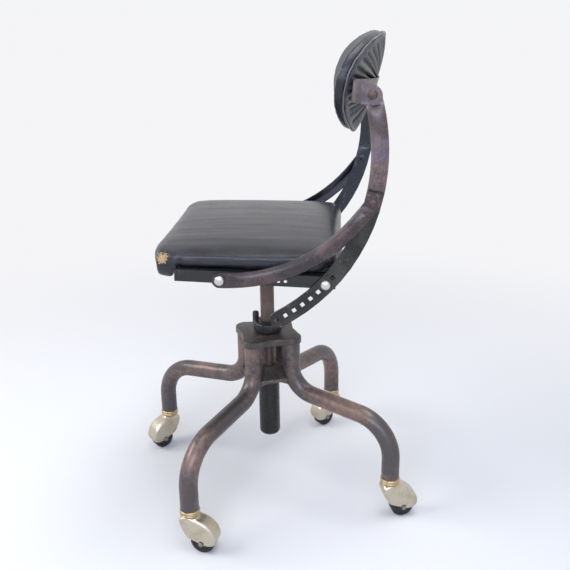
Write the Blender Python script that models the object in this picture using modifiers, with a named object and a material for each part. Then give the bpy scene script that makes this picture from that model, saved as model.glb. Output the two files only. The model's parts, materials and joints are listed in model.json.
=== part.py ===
# Posture desk chair: four-legged tube base on hooded casters, screw-height spindle,
# leather seat between two side rails, and a tilting oval back between curved side bars.
# Metres, +Z up. The origin is on the floor under the spindle. The chair faces -Y
# and its left side is at +X.
import math

import bmesh
import bpy
from mathutils import Matrix, Vector

GAP = 0.0003                  # clearance between pieces that touch
CUTTER_LENGTH = 0.2           # longer than anything that it cuts
SIDE_CUTTER_LENGTH = 0.6      # reaches across both sides of the chair

# Base
LEG_RADIUS = 0.015875         # 1 1/4 inch tube
LEG_WALL = 0.0024
LEG_BORE_SIDES = 10
LEG_TOP_OFFSET = 0.050        # spindle axis to the upright part of a leg
LEG_FOOT_OFFSET = 0.2525      # spindle axis to a foot
LEG_TURN = -27.9              # degrees from +X to the first leg
LEG_KNEE_Z = 0.2055           # corner of the inner bend
LEG_ANKLE_Z = 0.181           # corner of the outer bend
LEG_KNEE_BEND = 0.050         # bend radii
LEG_ANKLE_BEND = 0.072
LEG_END_Z = 0.0795            # height of a leg's lower end
LEG_NAMES = ("front_left", "rear_left", "rear_right", "front_right")

# Hub
PLATE_TOP_Z = 0.310
PLATE_THICKNESS = 0.0135
PLATE_EDGE = 0.0035           # rolled edge
PLATE_SIDE_DISTANCE = 0.048   # axis to the middle of a hollowed side
CUP_RADIUS = 0.0186           # round corner over a leg
LEG_TOP_COVER = 0.0085        # metal left over a leg's end
SPIDER_TOP_Z = 0.244
SPIDER_SHOULDER_Z = 0.230
SPIDER_BOTTOM_Z = 0.190
SPIDER_HALF_WIDTH = 0.047
SPIDER_REACH = 0.057          # how far its corners reach towards the legs
ARCH_CROWN_Z = 0.2245
ARCH_RADIUS = 0.052
BOSS_RADIUS = 0.0225
GUARD_RADIUS = 0.0196
GUARD_WALL = 0.0030
GUARD_TOP_Z = 0.2085
GUARD_BOTTOM_Z = 0.098
GUARD_ROUND = 0.009

# Spindle and its hand nut
SPINDLE_RADIUS = 0.0127
SPINDLE_BOTTOM_Z = 0.191
SEAT_Z = 0.4861               # rails' top on the spindle's axis
SHOULDER_DROP = 0.0668        # from there to the spindle's shoulder
SPINDLE_SHOULDER_Z = SEAT_Z - SHOULDER_DROP
PIN_RADIUS = 0.0095           # turned-down top that the seat swivels on
PIN_LENGTH = 0.048
NUT_RADIUS = 0.0262
NUT_HEIGHT = 0.020
NUT_EDGE = 0.003
LUG_RADIUS = 0.0062
LUG_OFFSET = 0.0245
LUG_HEIGHT = 0.034            # from the plate to a lug's top
LUG_TURNS = (112.0, 248.0)    # where the two lugs stand, degrees from +X

# Seat frame. Its local origin is on the spindle axis at the rails' top face.
SEAT_SLOPE = 2.78             # degrees down to the rear
RAIL_OUTER_X = 0.200
RAIL_HEIGHT = 0.019
RAIL_FLANGE = 0.022
RAIL_THICKNESS = 0.003
RAIL_FRONT = -0.1235
RAIL_REAR = 0.1235
RAIL_HOLE_RADIUS = 0.0027
RAIL_HOLES = (0.0359, 0.0466)
RAIL_HOLE_DROP = 0.0135       # holes' middle below the rails' top
RAIL_HOLE_Z = SEAT_Z - RAIL_HOLE_DROP
CROSS_WIDTH = 0.030
CROSS_THICKNESS = 0.004
CROSS_OFFSET = 0.060          # from the spindle axis to each cross strap
SOCKET_RADIUS = 0.0215
SOCKET_PLATE = (0.090, 0.150, 0.006)
CUSHION_SET_IN = 0.010        # from the rails' outer sides to the cushion's
CUSHION_HALF_WIDTH = RAIL_OUTER_X - CUSHION_SET_IN
BOARD_SET_IN = 0.008          # from the cushion's sides to the board's
BOARD_HALF_WIDTH = CUSHION_HALF_WIDTH - BOARD_SET_IN
BOARD_FRONT = -0.118
BOARD_REAR = 0.117
BOARD_THICKNESS = 0.009

# Seat cushion
CUSHION_FRONT = -0.1680
CUSHION_REAR = 0.1360
CUSHION_EDGE_FRONT = 0.0235   # height of the top edge over the rails
CUSHION_EDGE_REAR = 0.0345
CUSHION_CROWN = 0.010
CUSHION_DRAWN_IN = 0.0035     # how far the sides pull in between the corners
CUSHION_LIP = 0.020           # how far the front lip hangs below the rails' top
CUSHION_CORNER = 0.0120       # how far a corner is cut back each way
CUSHION_EDGE = 0.0060         # rounding of the edges

# Side bars, each an arc in its side plane: upright above, perforated strap below
BAR_ARC = 0.2854
BAR_REAR_Y = 0.1844           # the arc's rearmost point
BAR_CENTRE_Y = BAR_REAR_Y - BAR_ARC
BAR_CENTRE_RISE = 0.1772
BAR_CENTRE_Z = SEAT_Z + BAR_CENTRE_RISE
BAR_INNER_X = RAIL_OUTER_X + GAP
BAR_SHEET = 0.003
BAR_HALF_WIDTH = 0.0128
BAR_BULGE = 0.0062
STRAP_RIM = 0.0016
PIVOT_RISE = 0.2627
PIVOT_Z = SEAT_Z + PIVOT_RISE  # back pivot rivet
JOINT_RISE = 0.1089
JOINT_Z = SEAT_Z + JOINT_RISE  # rivet between arm and bar
REAR_BOLT_DROP = 0.0175
REAR_BOLT_Z = SEAT_Z - REAR_BOLT_DROP
HOLE_PITCH = 0.0159           # 5/8 inch
HOLE_SIDE = 0.0066            # square holes for the bolts' necks
HOLES_BELOW = 6
HOLES_ABOVE = 1
STRAP_END = 0.0095            # past the last hole

# Arms
ARM_START_DROP = 0.0114
ARM_START = (-0.0544, SEAT_Z - ARM_START_DROP)  # front bolt, y and z
ARM_HANDLE_DROP = 0.0156
ARM_HANDLE_A = (0.085, SEAT_Z - ARM_HANDLE_DROP)  # what the arm's curve bends towards
ARM_HANDLE_RISE = 0.0729
ARM_HANDLE_B = (0.150, SEAT_Z + ARM_HANDLE_RISE)
ARM_HALF_WIDTH = 0.0118
ARM_BULGE = 0.0070
ARM_END_LENGTH = 0.0165       # past the joint rivet

# Fasteners
BOLT_HEAD_RADIUS = 0.0076
BOLT_HEAD_HEIGHT = 0.0042
BOLT_RADIUS = 0.0030
NUT_ACROSS = 0.0110
NUT_THICKNESS = 0.0050
RIVET_RADIUS = 0.0032
RIVET_HEAD_RADIUS = 0.0064
RIVET_HEAD_HEIGHT = 0.0026

# Back. The pad is an oval, tilted back and bent so that its ends come forward.
PAD_SET_FORWARD = 0.0045      # the pad's middle plane ahead of the pivot
PAD_RISE = 0.0062             # its centre above the pivot
PAD_CENTRE_Z = PIVOT_Z + PAD_RISE
PAD_HALF_WIDTH = 0.152
PAD_HALF_HEIGHT = 0.0805
PAD_FULLNESS = 2.25           # 2 for a true ellipse, more for squarer ends
PAD_TILT = 16.5
PAD_BEND = 0.040              # how far forward the ends come
PAD_BACK = -0.0060            # rear face of the pad's body, from its middle plane
PAD_FRONT = 0.0085            # front seam
PAD_CROWN = 0.0135
PAD_SIDES = 44
PAN_INSET = 0.016
PAN_THICKNESS = 0.0020
COVER_DEPTH = 0.0105          # rear cover behind the pan
COVER_PLEAT_DEPTH = 0.0018
STRAP_HEIGHT = 0.029
STRAP_THICKNESS = 0.003
STRAP_SET_FORWARD = 0.0248    # how far ahead of the pivot the strap runs beside the uprights
STRAP_RISE = 8.0              # degrees that the strap rises towards the front
BACK_BOLT_X = 0.045

# Casters
CASTER_TURNS = {"front_left": 78.0, "rear_left": 106.0, "rear_right": -50.0, "front_right": -46.0}
WHEEL_RADIUS = 0.0206         # 1 5/8 inch wheel
WHEEL_HALF_WIDTH = 0.0095
WHEEL_SIDES = 20
TRAIL = 0.0225                # stem axis to axle
AXLE_RADIUS = 0.0030
HOOD_HALF_WIDTH = 0.0158
HOOD_TOP_Z = 0.0650
HOOD_EDGE = 0.0075
HOOD_WALL = 0.0022
HOOD_SIDE_SPACE = 0.0014      # between wheel and hood
HOOD_TAIL = 0.0030            # metal behind the wheel, past the wall
HOOD_SKIRT = 0.0042           # how far the hood's edge hangs below the axle
COLLAR_RADIUS = 0.0175
COLLAR_HEIGHT = 0.0105
COLLAR_RING = 0.0022
SPIGOT_LENGTH = 0.028
STEM_RADIUS = 0.0048
STEM_TOP_Z = 0.102

for old in list(bpy.data.objects):
    bpy.data.objects.remove(old, do_unlink=True)

parts = bpy.data.collections.new("posture_desk_chair")
cutters = bpy.data.collections.new("cutters")
bpy.context.scene.collection.children.link(parts)
bpy.context.scene.collection.children.link(cutters)


def make_material(name, colour, roughness, metallic):
    material = bpy.data.materials.new(name)
    material.use_nodes = True
    shader = material.node_tree.nodes["Principled BSDF"]
    shader.inputs["Base Color"].default_value = (*colour, 1.0)
    shader.inputs["Roughness"].default_value = roughness
    shader.inputs["Metallic"].default_value = metallic
    return material


rusty_tube = make_material("rusty_tube", (0.085, 0.055, 0.045), 0.50, 0.6)
cast_hub = make_material("cast_hub", (0.060, 0.052, 0.047), 0.60, 0.5)
rusty_bar = make_material("rusty_bar", (0.130, 0.075, 0.055), 0.55, 0.5)
black_bar = make_material("black_bar", (0.022, 0.026, 0.024), 0.45, 0.4)
plated_steel = make_material("plated_steel", (0.62, 0.60, 0.55), 0.30, 1.0)
nickel_brass = make_material("nickel_brass", (0.48, 0.43, 0.31), 0.35, 1.0)
black_leather = make_material("black_leather", (0.030, 0.030, 0.036), 0.40, 0.0)
rubber = make_material("rubber", (0.018, 0.018, 0.022), 0.70, 0.0)
plywood = make_material("plywood", (0.42, 0.30, 0.18), 0.70, 0.0)


def link(name, mesh, material, place=None, smooth=True):
    """Adds a finished mesh to the part under its node name, its origin at place."""
    obj = bpy.data.objects.new(name, mesh)
    if place is not None:
        mesh.transform(place.inverted())
        obj.matrix_world = place
    mesh.materials.clear()
    mesh.materials.append(material)
    if smooth:
        mesh.shade_smooth()
        mesh.set_sharp_from_angle(angle=math.radians(35))
    parts.objects.link(obj)
    return obj


def finish_mesh(bm, name):
    bmesh.ops.recalc_face_normals(bm, faces=bm.faces)
    mesh = bpy.data.meshes.new(name)
    bm.to_mesh(mesh)
    bm.free()
    return mesh


def cylinder_mesh(radius, length, sides=24, top_radius=None, turn=0.0):
    """A cylinder along Z, centred, with its first corner turned by half a side plus turn."""
    bm = bmesh.new()
    top = radius if top_radius is None else top_radius
    bmesh.ops.create_cone(bm, cap_ends=True, segments=sides, radius1=radius, radius2=top, depth=length,
                          matrix=Matrix.Rotation(math.pi / sides + turn, 4, "Z"))
    return finish_mesh(bm, "cylinder")


def box_mesh(size):
    bm = bmesh.new()
    bmesh.ops.create_cube(bm, size=1.0, matrix=Matrix.Diagonal((*size, 1.0)))
    return finish_mesh(bm, "box")


def turned_mesh(profile, sides=24):
    """Turns a profile of (radius, z) pairs, listed top to bottom down the outer side."""
    curve_mesh = bpy.data.meshes.new("profile")
    bm = bmesh.new()
    corners = [bm.verts.new((radius, 0.0, z)) for radius, z in profile]
    for first, second in zip(corners, corners[1:]):
        bm.edges.new((first, second))
    if profile[0][0] > 1e-6:
        bm.edges.new((corners[-1], corners[0]))
    bm.to_mesh(curve_mesh)
    bm.free()
    obj = bpy.data.objects.new("turned", curve_mesh)
    cutters.objects.link(obj)
    screw = obj.modifiers.new("screw", "SCREW")
    screw.steps = sides
    screw.render_steps = sides
    screw.use_merge_vertices = True
    screw.merge_threshold = 0.00001
    return bake(obj)


def bake(obj):
    """Returns the evaluated mesh of a helper object, in world space, and removes the object."""
    bpy.context.view_layer.update()
    evaluated = obj.evaluated_get(bpy.context.evaluated_depsgraph_get())
    mesh = bpy.data.meshes.new_from_object(evaluated)
    mesh.transform(obj.matrix_world)
    bpy.data.objects.remove(obj, do_unlink=True)
    bm = bmesh.new()
    bm.from_mesh(mesh)
    bmesh.ops.remove_doubles(bm, verts=bm.verts, dist=0.000005)
    bmesh.ops.recalc_face_normals(bm, faces=bm.faces)
    bm.to_mesh(mesh)
    bm.free()
    return mesh


def outline_mesh(points, thickness):
    """A flat outline in XY, centred on z = 0."""
    curve = bpy.data.curves.new("outline", "CURVE")
    curve.dimensions = "2D"
    curve.fill_mode = "BOTH"
    curve.extrude = thickness / 2
    spline = curve.splines.new("POLY")
    spline.points.add(len(points) - 1)
    for point, (x, y) in zip(spline.points, points):
        point.co = (x, y, 0.0, 1.0)
    spline.use_cyclic_u = True
    obj = bpy.data.objects.new("outline", curve)
    cutters.objects.link(obj)
    return bake(obj)


def tube_mesh(points, radius, sides=14):
    """A round bar along a polyline, with welded caps."""
    curve = bpy.data.curves.new("tube", "CURVE")
    curve.dimensions = "3D"
    curve.bevel_depth = radius
    curve.bevel_resolution = sides // 2 - 2
    curve.use_fill_caps = True
    spline = curve.splines.new("POLY")
    spline.points.add(len(points) - 1)
    for point, place in zip(spline.points, points):
        point.co = (*place, 1.0)
    obj = bpy.data.objects.new("tube", curve)
    cutters.objects.link(obj)
    return bake(obj)


def moved(mesh, *matrices):
    for matrix in matrices:
        mesh.transform(matrix)
    return mesh


def shift(x, y, z):
    return Matrix.Translation((x, y, z))


def turn(degrees, axis):
    return Matrix.Rotation(math.radians(degrees), 4, axis)


def combine(base, tools, operation):
    """Joins or cuts a mesh with others, one after another, with exact Booleans."""
    target = bpy.data.objects.new("target", base)
    cutters.objects.link(target)
    helpers = []
    for index, tool in enumerate(tools):
        helper = bpy.data.objects.new(f"tool_{index}", tool)
        cutters.objects.link(helper)
        boolean = target.modifiers.new(f"boolean_{index}", "BOOLEAN")
        boolean.operation = operation
        boolean.solver = "EXACT"
        boolean.object = helper
        helpers.append(helper)
    mesh = bake(target)
    for helper in helpers:
        bpy.data.objects.remove(helper, do_unlink=True)
    return mesh


def rounded(mesh, width, segments=2, angle=30.0):
    """Bevels a mesh's sharp edges."""
    obj = bpy.data.objects.new("rounded", mesh)
    cutters.objects.link(obj)
    bevel = obj.modifiers.new("bevel", "BEVEL")
    bevel.width = width
    bevel.segments = segments
    bevel.limit_method = "ANGLE"
    bevel.angle_limit = math.radians(angle)
    bevel.use_clamp_overlap = True
    return bake(obj)


def along_x(mesh):
    """Lays a mesh made along Z along X, its top towards +X."""
    return moved(mesh, turn(90, "Y"))


def arc_points(centre, radius, start, end, steps):
    return [(centre[0] + radius * math.cos(math.radians(start + (end - start) * k / steps)),
             centre[1] + radius * math.sin(math.radians(start + (end - start) * k / steps)))
            for k in range(steps + 1)]


def smooth_step(low, high, value):
    """0 at low, 1 at high, smooth between; low may be the greater."""
    t = min(max((value - low) / (high - low), 0.0), 1.0)
    return t * t * (3 - 2 * t)


def filleted(corners, radii, steps):
    """A polyline with its inner corners rounded to arcs."""
    points = [Vector(corners[0])]
    for before, corner, after, radius in zip(corners, corners[1:], corners[2:], radii):
        a = (Vector(before) - Vector(corner)).normalized()
        b = (Vector(after) - Vector(corner)).normalized()
        half = a.angle(b) / 2
        reach = radius / math.tan(half)
        centre = Vector(corner) + (a + b).normalized() * (radius / math.sin(half))
        start = Vector(corner) + a * reach - centre
        sweep = math.pi - 2 * half
        axis = a.cross(b).normalized()
        for k in range(steps + 1):
            points.append(centre + Matrix.Rotation(-sweep * k / steps, 3, axis) @ start)
    points.append(Vector(corners[-1]))
    return points


# Legs
def leg_path(angle, end_overrun=0.0, top_overrun=0.0):
    top = PLATE_TOP_Z - LEG_TOP_COVER + top_overrun
    flat = [(LEG_TOP_OFFSET, top), (LEG_TOP_OFFSET, LEG_KNEE_Z), (LEG_FOOT_OFFSET, LEG_ANKLE_Z),
            (LEG_FOOT_OFFSET, LEG_END_Z - end_overrun)]
    corners = [(r * math.cos(angle), r * math.sin(angle), z) for r, z in flat]
    return filleted(corners, (LEG_KNEE_BEND, LEG_ANKLE_BEND), 5)


def leg_angle(index):
    return math.radians(LEG_TURN + 90.0 * index)


for index, leg_name in enumerate(LEG_NAMES):
    body = tube_mesh(leg_path(leg_angle(index)), LEG_RADIUS)
    bore = tube_mesh(leg_path(leg_angle(index), 0.004, 0.004), LEG_RADIUS - LEG_WALL, LEG_BORE_SIDES)
    link(f"leg_{leg_name}", combine(body, [bore], "DIFFERENCE"), rusty_tube)


# Hub: a top plate with hollowed sides that the legs run up into, and an arched spider below
def plate_outline():
    """Round corners over the legs, joined by hollowed sides."""
    points = []
    for index in range(4):
        angle = LEG_TURN + 90.0 * index
        turned = math.radians(angle)
        centre = (LEG_TOP_OFFSET * math.cos(turned), LEG_TOP_OFFSET * math.sin(turned))
        points += arc_points(centre, CUP_RADIUS, angle - 68, angle + 68, 6)
        side = math.radians(angle + 45)
        points.append((PLATE_SIDE_DISTANCE * math.cos(side), PLATE_SIDE_DISTANCE * math.sin(side)))
    return points


plate = rounded(outline_mesh(plate_outline(), PLATE_THICKNESS), PLATE_EDGE, 2, 60)
moved(plate, shift(0, 0, PLATE_TOP_Z - PLATE_THICKNESS / 2))
plate_cuts = [moved(cylinder_mesh(SPINDLE_RADIUS + GAP, CUTTER_LENGTH, 20), shift(0, 0, PLATE_TOP_Z))]
leg_top = PLATE_TOP_Z - LEG_TOP_COVER + GAP
for index in range(4):
    angle = leg_angle(index)
    socket = cylinder_mesh(LEG_RADIUS + 2 * GAP, PLATE_THICKNESS, 16, turn=angle)
    plate_cuts.append(moved(socket, shift(LEG_TOP_OFFSET * math.cos(angle), LEG_TOP_OFFSET * math.sin(angle),
                                          leg_top - PLATE_THICKNESS / 2)))
link("hub_top_plate", combine(plate, plate_cuts, "DIFFERENCE"), cast_hub)

block_height = SPIDER_SHOULDER_Z - SPIDER_BOTTOM_Z
block = box_mesh((2 * SPIDER_HALF_WIDTH, 2 * SPIDER_HALF_WIDTH, block_height))
moved(block, shift(0, 0, SPIDER_BOTTOM_Z + block_height / 2))
roof_height = SPIDER_TOP_Z - SPIDER_SHOULDER_Z
roof = cylinder_mesh((SPIDER_HALF_WIDTH - GAP) * math.sqrt(2), roof_height, 4, BOSS_RADIUS * math.sqrt(2))
moved(roof, shift(0, 0, SPIDER_SHOULDER_Z + roof_height / 2 - 2 * GAP))
spider = combine(block, [roof], "UNION")
for quarter, crown_z in ((0, ARCH_CROWN_Z), (90, ARCH_CROWN_Z - GAP)):
    vault = moved(cylinder_mesh(ARCH_RADIUS, CUTTER_LENGTH, 32), turn(90, "X"), turn(quarter, "Z"))
    spider = combine(spider, [moved(vault, shift(0, 0, crown_z - ARCH_RADIUS))], "DIFFERENCE")
spider = moved(spider, turn(LEG_TURN + 45, "Z"))
reach = moved(cylinder_mesh(SPIDER_REACH, CUTTER_LENGTH, 24), shift(0, 0, SPIDER_TOP_Z))
spider = combine(spider, [reach], "INTERSECT")
spigot_radius = GUARD_RADIUS - GUARD_WALL - GAP
boss_bottom = GUARD_TOP_Z + GAP
spigot_bottom = GUARD_TOP_Z - 0.012
boss = turned_mesh([(0, SPIDER_TOP_Z), (BOSS_RADIUS - 0.002, SPIDER_TOP_Z),
                    (BOSS_RADIUS, SPIDER_TOP_Z - 0.002), (BOSS_RADIUS, boss_bottom),
                    (spigot_radius, boss_bottom), (spigot_radius, spigot_bottom), (0, spigot_bottom)], 20)
spider = combine(spider, [boss], "UNION")
spider_cuts = [moved(cylinder_mesh(SPINDLE_RADIUS + GAP, CUTTER_LENGTH, 20), shift(0, 0, SPIDER_TOP_Z))]
for index in range(4):
    spider_cuts.append(tube_mesh(leg_path(leg_angle(index)), LEG_RADIUS + GAP))
link("hub_lower_spider", combine(spider, spider_cuts, "DIFFERENCE"), cast_hub)

guard_inner = GUARD_RADIUS - GUARD_WALL
guard_profile = [(guard_inner, GUARD_TOP_Z), (GUARD_RADIUS, GUARD_TOP_Z)]
guard_turn = (GUARD_RADIUS - GUARD_ROUND, GUARD_BOTTOM_Z + GUARD_ROUND)
guard_profile += arc_points(guard_turn, GUARD_ROUND, 0, -90, 3)
guard_profile += [(0, GUARD_BOTTOM_Z), (0, GUARD_BOTTOM_Z + GUARD_WALL),
                  (guard_inner - GUARD_ROUND / 2, GUARD_BOTTOM_Z + GUARD_WALL),
                  (guard_inner, GUARD_BOTTOM_Z + GUARD_WALL + GUARD_ROUND / 2)]
link("spindle_guard_tube", turned_mesh(guard_profile, 20), cast_hub)

# Spindle and hand nut
spindle_top = SPINDLE_SHOULDER_Z + PIN_LENGTH
spindle = turned_mesh([(0, spindle_top), (PIN_RADIUS - 0.001, spindle_top),
                       (PIN_RADIUS, spindle_top - 0.001), (PIN_RADIUS, SPINDLE_SHOULDER_Z),
                       (SPINDLE_RADIUS, SPINDLE_SHOULDER_Z), (SPINDLE_RADIUS, SPINDLE_BOTTOM_Z + 0.0015),
                       (SPINDLE_RADIUS - 0.0015, SPINDLE_BOTTOM_Z), (0, SPINDLE_BOTTOM_Z)], 20)
link("height_spindle", spindle, rusty_bar)

nut_bottom = PLATE_TOP_Z + GAP
nut = rounded(cylinder_mesh(NUT_RADIUS, NUT_HEIGHT, 24), NUT_EDGE, 1, 50)
moved(nut, shift(0, 0, nut_bottom + NUT_HEIGHT / 2))
lug_base = nut_bottom + NUT_HEIGHT * 0.4
lug_height = PLATE_TOP_Z + LUG_HEIGHT - lug_base
lugs = []
for degrees in LUG_TURNS:
    lug = rounded(cylinder_mesh(LUG_RADIUS, lug_height, 10), 0.0025, 2, 50)
    place = (LUG_OFFSET * math.cos(math.radians(degrees)), LUG_OFFSET * math.sin(math.radians(degrees)))
    lugs.append(moved(lug, shift(place[0], place[1], lug_base + lug_height / 2)))
nut = combine(nut, lugs, "UNION")
nut_bore = moved(cylinder_mesh(SPINDLE_RADIUS + GAP, CUTTER_LENGTH, 20), shift(0, 0, PLATE_TOP_Z))
link("height_hand_nut", combine(nut, [nut_bore], "DIFFERENCE"), cast_hub)


# Seat frame
def seat_place(x, y, z):
    """From the seat's sloping frame to the chair's."""
    return shift(0, 0, SEAT_Z) @ turn(-SEAT_SLOPE, "X") @ shift(x, y, z)


def rail_top(y):
    return SEAT_Z - y * math.tan(math.radians(SEAT_SLOPE))


def side_hole(y, z, radius):
    """A round cutter across both sides of the chair."""
    return moved(along_x(cylinder_mesh(radius, SIDE_CUTTER_LENGTH, 12)), shift(0, y, z))


def arc_place(degrees, offset=0.0):
    """A point on a side bar's middle line, by its angle about the arc's centre."""
    return (BAR_CENTRE_Y + (BAR_ARC + offset) * math.cos(math.radians(degrees)),
            BAR_CENTRE_Z + (BAR_ARC + offset) * math.sin(math.radians(degrees)))


def arc_angle(z):
    return math.degrees(math.asin((z - BAR_CENTRE_Z) / BAR_ARC))


pivot_place = arc_place(arc_angle(PIVOT_Z))
joint_place = arc_place(arc_angle(JOINT_Z))
rear_bolt_place = arc_place(arc_angle(REAR_BOLT_Z))

rail_length = RAIL_REAR - RAIL_FRONT
rail_outline = [(0, 0), (0, -RAIL_HEIGHT), (-RAIL_THICKNESS, -RAIL_HEIGHT),
                (-RAIL_THICKNESS, -RAIL_THICKNESS), (-RAIL_FLANGE, -RAIL_THICKNESS), (-RAIL_FLANGE, 0)]
rail = moved(outline_mesh(rail_outline, rail_length), turn(90, "X"),
             seat_place(RAIL_OUTER_X, (RAIL_FRONT + RAIL_REAR) / 2, 0))
rail_cuts = [side_hole(ARM_START[0], ARM_START[1], BOLT_RADIUS + GAP),
             side_hole(rear_bolt_place[0], rear_bolt_place[1], BOLT_RADIUS + GAP)]
rail_cuts += [side_hole(y, RAIL_HOLE_Z, RAIL_HOLE_RADIUS) for y in RAIL_HOLES]
rail = combine(rail, rail_cuts, "DIFFERENCE")


def both_sides(name, mesh, material):
    """A piece on the left side and its mirror image on the right side."""
    link(f"{name}_left", mesh, material)
    mirrored = mesh.copy()
    mirrored.transform(Matrix.Diagonal((-1, 1, 1, 1)))
    mirrored.flip_normals()
    link(f"{name}_right", mirrored, material)


both_sides("seat_rail", rail, black_bar)

cross_z = -RAIL_THICKNESS - GAP - CROSS_THICKNESS / 2
cross_length = 2 * (RAIL_OUTER_X - RAIL_THICKNESS - GAP)
for label, offset in (("front", -CROSS_OFFSET), ("rear", CROSS_OFFSET)):
    strap = box_mesh((cross_length, CROSS_WIDTH, CROSS_THICKNESS))
    link(f"seat_cross_strap_{label}", moved(strap, seat_place(0, offset, cross_z)), black_bar, smooth=False)

socket_plate_z = cross_z - CROSS_THICKNESS / 2 - GAP - SOCKET_PLATE[2] / 2
socket_top = SEAT_Z + socket_plate_z
socket_plate = moved(rounded(box_mesh(SOCKET_PLATE), 0.002, 1), seat_place(0, 0, socket_plate_z))
socket_bottom = SPINDLE_SHOULDER_Z + GAP
socket_boss = moved(cylinder_mesh(SOCKET_RADIUS, socket_top - socket_bottom, 20),
                    shift(0, 0, (socket_top + socket_bottom) / 2))
pin_top = SPINDLE_SHOULDER_Z + PIN_LENGTH + GAP
pin_bore = moved(cylinder_mesh(PIN_RADIUS + GAP, pin_top - socket_bottom + 0.01, 20),
                 shift(0, 0, (pin_top + socket_bottom - 0.01) / 2))
socket = combine(socket_plate, [socket_boss], "UNION")
link("seat_swivel_socket", combine(socket, [pin_bore], "DIFFERENCE"), cast_hub)

board_length = BOARD_REAR - BOARD_FRONT
board = rounded(box_mesh((2 * BOARD_HALF_WIDTH, board_length, BOARD_THICKNESS)), 0.0015, 1)
board_place = seat_place(0, (BOARD_FRONT + BOARD_REAR) / 2, GAP + BOARD_THICKNESS / 2)
link("seat_board", moved(board, board_place), plywood)


# Seat cushion: a boxed pad with a crowned top, drawn-in sides and a lip over the rails' ends
def cushion_mesh():
    """A cube cut into a grid, its rows set close together at the ends, then shaped."""
    columns = 18
    rows = [CUSHION_FRONT, CUSHION_FRONT + 0.006, CUSHION_FRONT + 0.020]
    rows += [RAIL_FRONT - 0.0065, RAIL_FRONT - 2 * GAP]
    start = RAIL_FRONT + 0.018
    rows += [start + (CUSHION_REAR - 0.017 - start) * k / 7 for k in range(8)]
    rows += [CUSHION_REAR - 0.006, CUSHION_REAR]
    bm = bmesh.new()
    bmesh.ops.create_cube(bm, size=2.0)
    for axis, cuts in ((0, columns), (1, len(rows) - 2), (2, 4)):
        edges = [e for e in bm.edges if abs(e.verts[0].co[axis] - e.verts[1].co[axis]) > 1]
        bmesh.ops.subdivide_edges(bm, edges=edges, cuts=cuts, use_grid_fill=True)
    for vert in bm.verts:
        u, v, w = vert.co
        y = rows[round((v + 1) / 2 * (len(rows) - 1))]
        u = math.sin(u * math.pi / 2) * 0.5 + u * 0.5
        v = (2 * y - CUSHION_FRONT - CUSHION_REAR) / (CUSHION_REAR - CUSHION_FRONT)
        level = (w + 1) / 2
        along = (v + 1) / 2
        in_front = smooth_step(RAIL_FRONT - GAP, RAIL_FRONT - 0.007, y)
        top = CUSHION_EDGE_FRONT + (CUSHION_EDGE_REAR - CUSHION_EDGE_FRONT) * along
        top += CUSHION_CROWN * (1 - u * u) * (1 - v * v) ** 0.7
        top -= CUSHION_EDGE * (0.55 * abs(u) ** 12 + 0.55 * abs(v) ** 12)
        z = GAP + (top - GAP) * level - CUSHION_LIP * in_front * (1 - level) ** 2
        # edges rounded top and bottom, sides drawn in, corners rounded in plan
        inset = CUSHION_EDGE * abs(2 * level - 1) ** 3
        corner = smooth_step(0.72, 1, abs(u)) * smooth_step(0.70, 1, abs(v)) * CUSHION_CORNER
        pull_x = CUSHION_DRAWN_IN * (1 - v * v) + inset + corner
        pull_y = CUSHION_DRAWN_IN * (1 - u * u) + inset + corner
        x = u * CUSHION_HALF_WIDTH - math.copysign(pull_x * abs(u) ** 6, u)
        y -= math.copysign(pull_y * abs(v) ** 24, v)
        vert.co = (x, y, z)
    return finish_mesh(bm, "cushion")


cushion = cushion_mesh()
recess = box_mesh((2 * (BOARD_HALF_WIDTH + GAP), board_length + 2 * GAP, BOARD_THICKNESS + 2 * GAP))
moved(recess, shift(0, (BOARD_FRONT + BOARD_REAR) / 2, (BOARD_THICKNESS + 2 * GAP) / 2 - GAP / 2))
link("seat_cushion", moved(combine(cushion, [recess], "DIFFERENCE"), seat_place(0, 0, 0)), black_leather)


# Side bars and arms: pressed channels that flatten to tongues at their rivets
def channel_section(half_width, sheet, bulge, rim):
    """One closed cross section, as (across, out) pairs."""
    outer = []
    for u in (-1.0, -0.84, -0.6, 0.0, 0.6, 0.84, 1.0):
        height = sheet + bulge * math.sqrt(1 - u * u) + rim * (abs(u) > 0.7)
        outer.append((u * half_width, height))
    inner = []
    for u in (0.8, 0.0, -0.8):
        inner.append((u * half_width, bulge * (1 - (u / 0.8) ** 2)))
    return [(-half_width, 0.0)] + outer + [(half_width, 0.0)] + inner


def channel_mesh(stations):
    """Lofts stations of (y, z, across direction, base x, half width, sheet, bulge, rim) along +X."""
    bm = bmesh.new()
    rings = []
    for y, z, across, base, half_width, sheet, bulge, rim in stations:
        ring = []
        for u, out in channel_section(half_width, sheet, bulge, rim):
            ring.append(bm.verts.new((base + out, y + across[0] * u, z + across[1] * u)))
        rings.append(ring)
    count = len(rings[0])
    for first, second in zip(rings, rings[1:]):
        for k in range(count):
            bm.faces.new((first[k], first[(k + 1) % count], second[(k + 1) % count], second[k]))
    bm.faces.new(list(reversed(rings[0])))
    bm.faces.new(rings[-1])
    return finish_mesh(bm, "channel")


def end_taper(distance, radius):
    """Half width of a round end, as a share, at a distance from its tip."""
    if distance >= radius:
        return 1.0
    return max(math.sqrt(max(1 - ((radius - distance) / radius) ** 2, 0.0)), 0.22)


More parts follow.
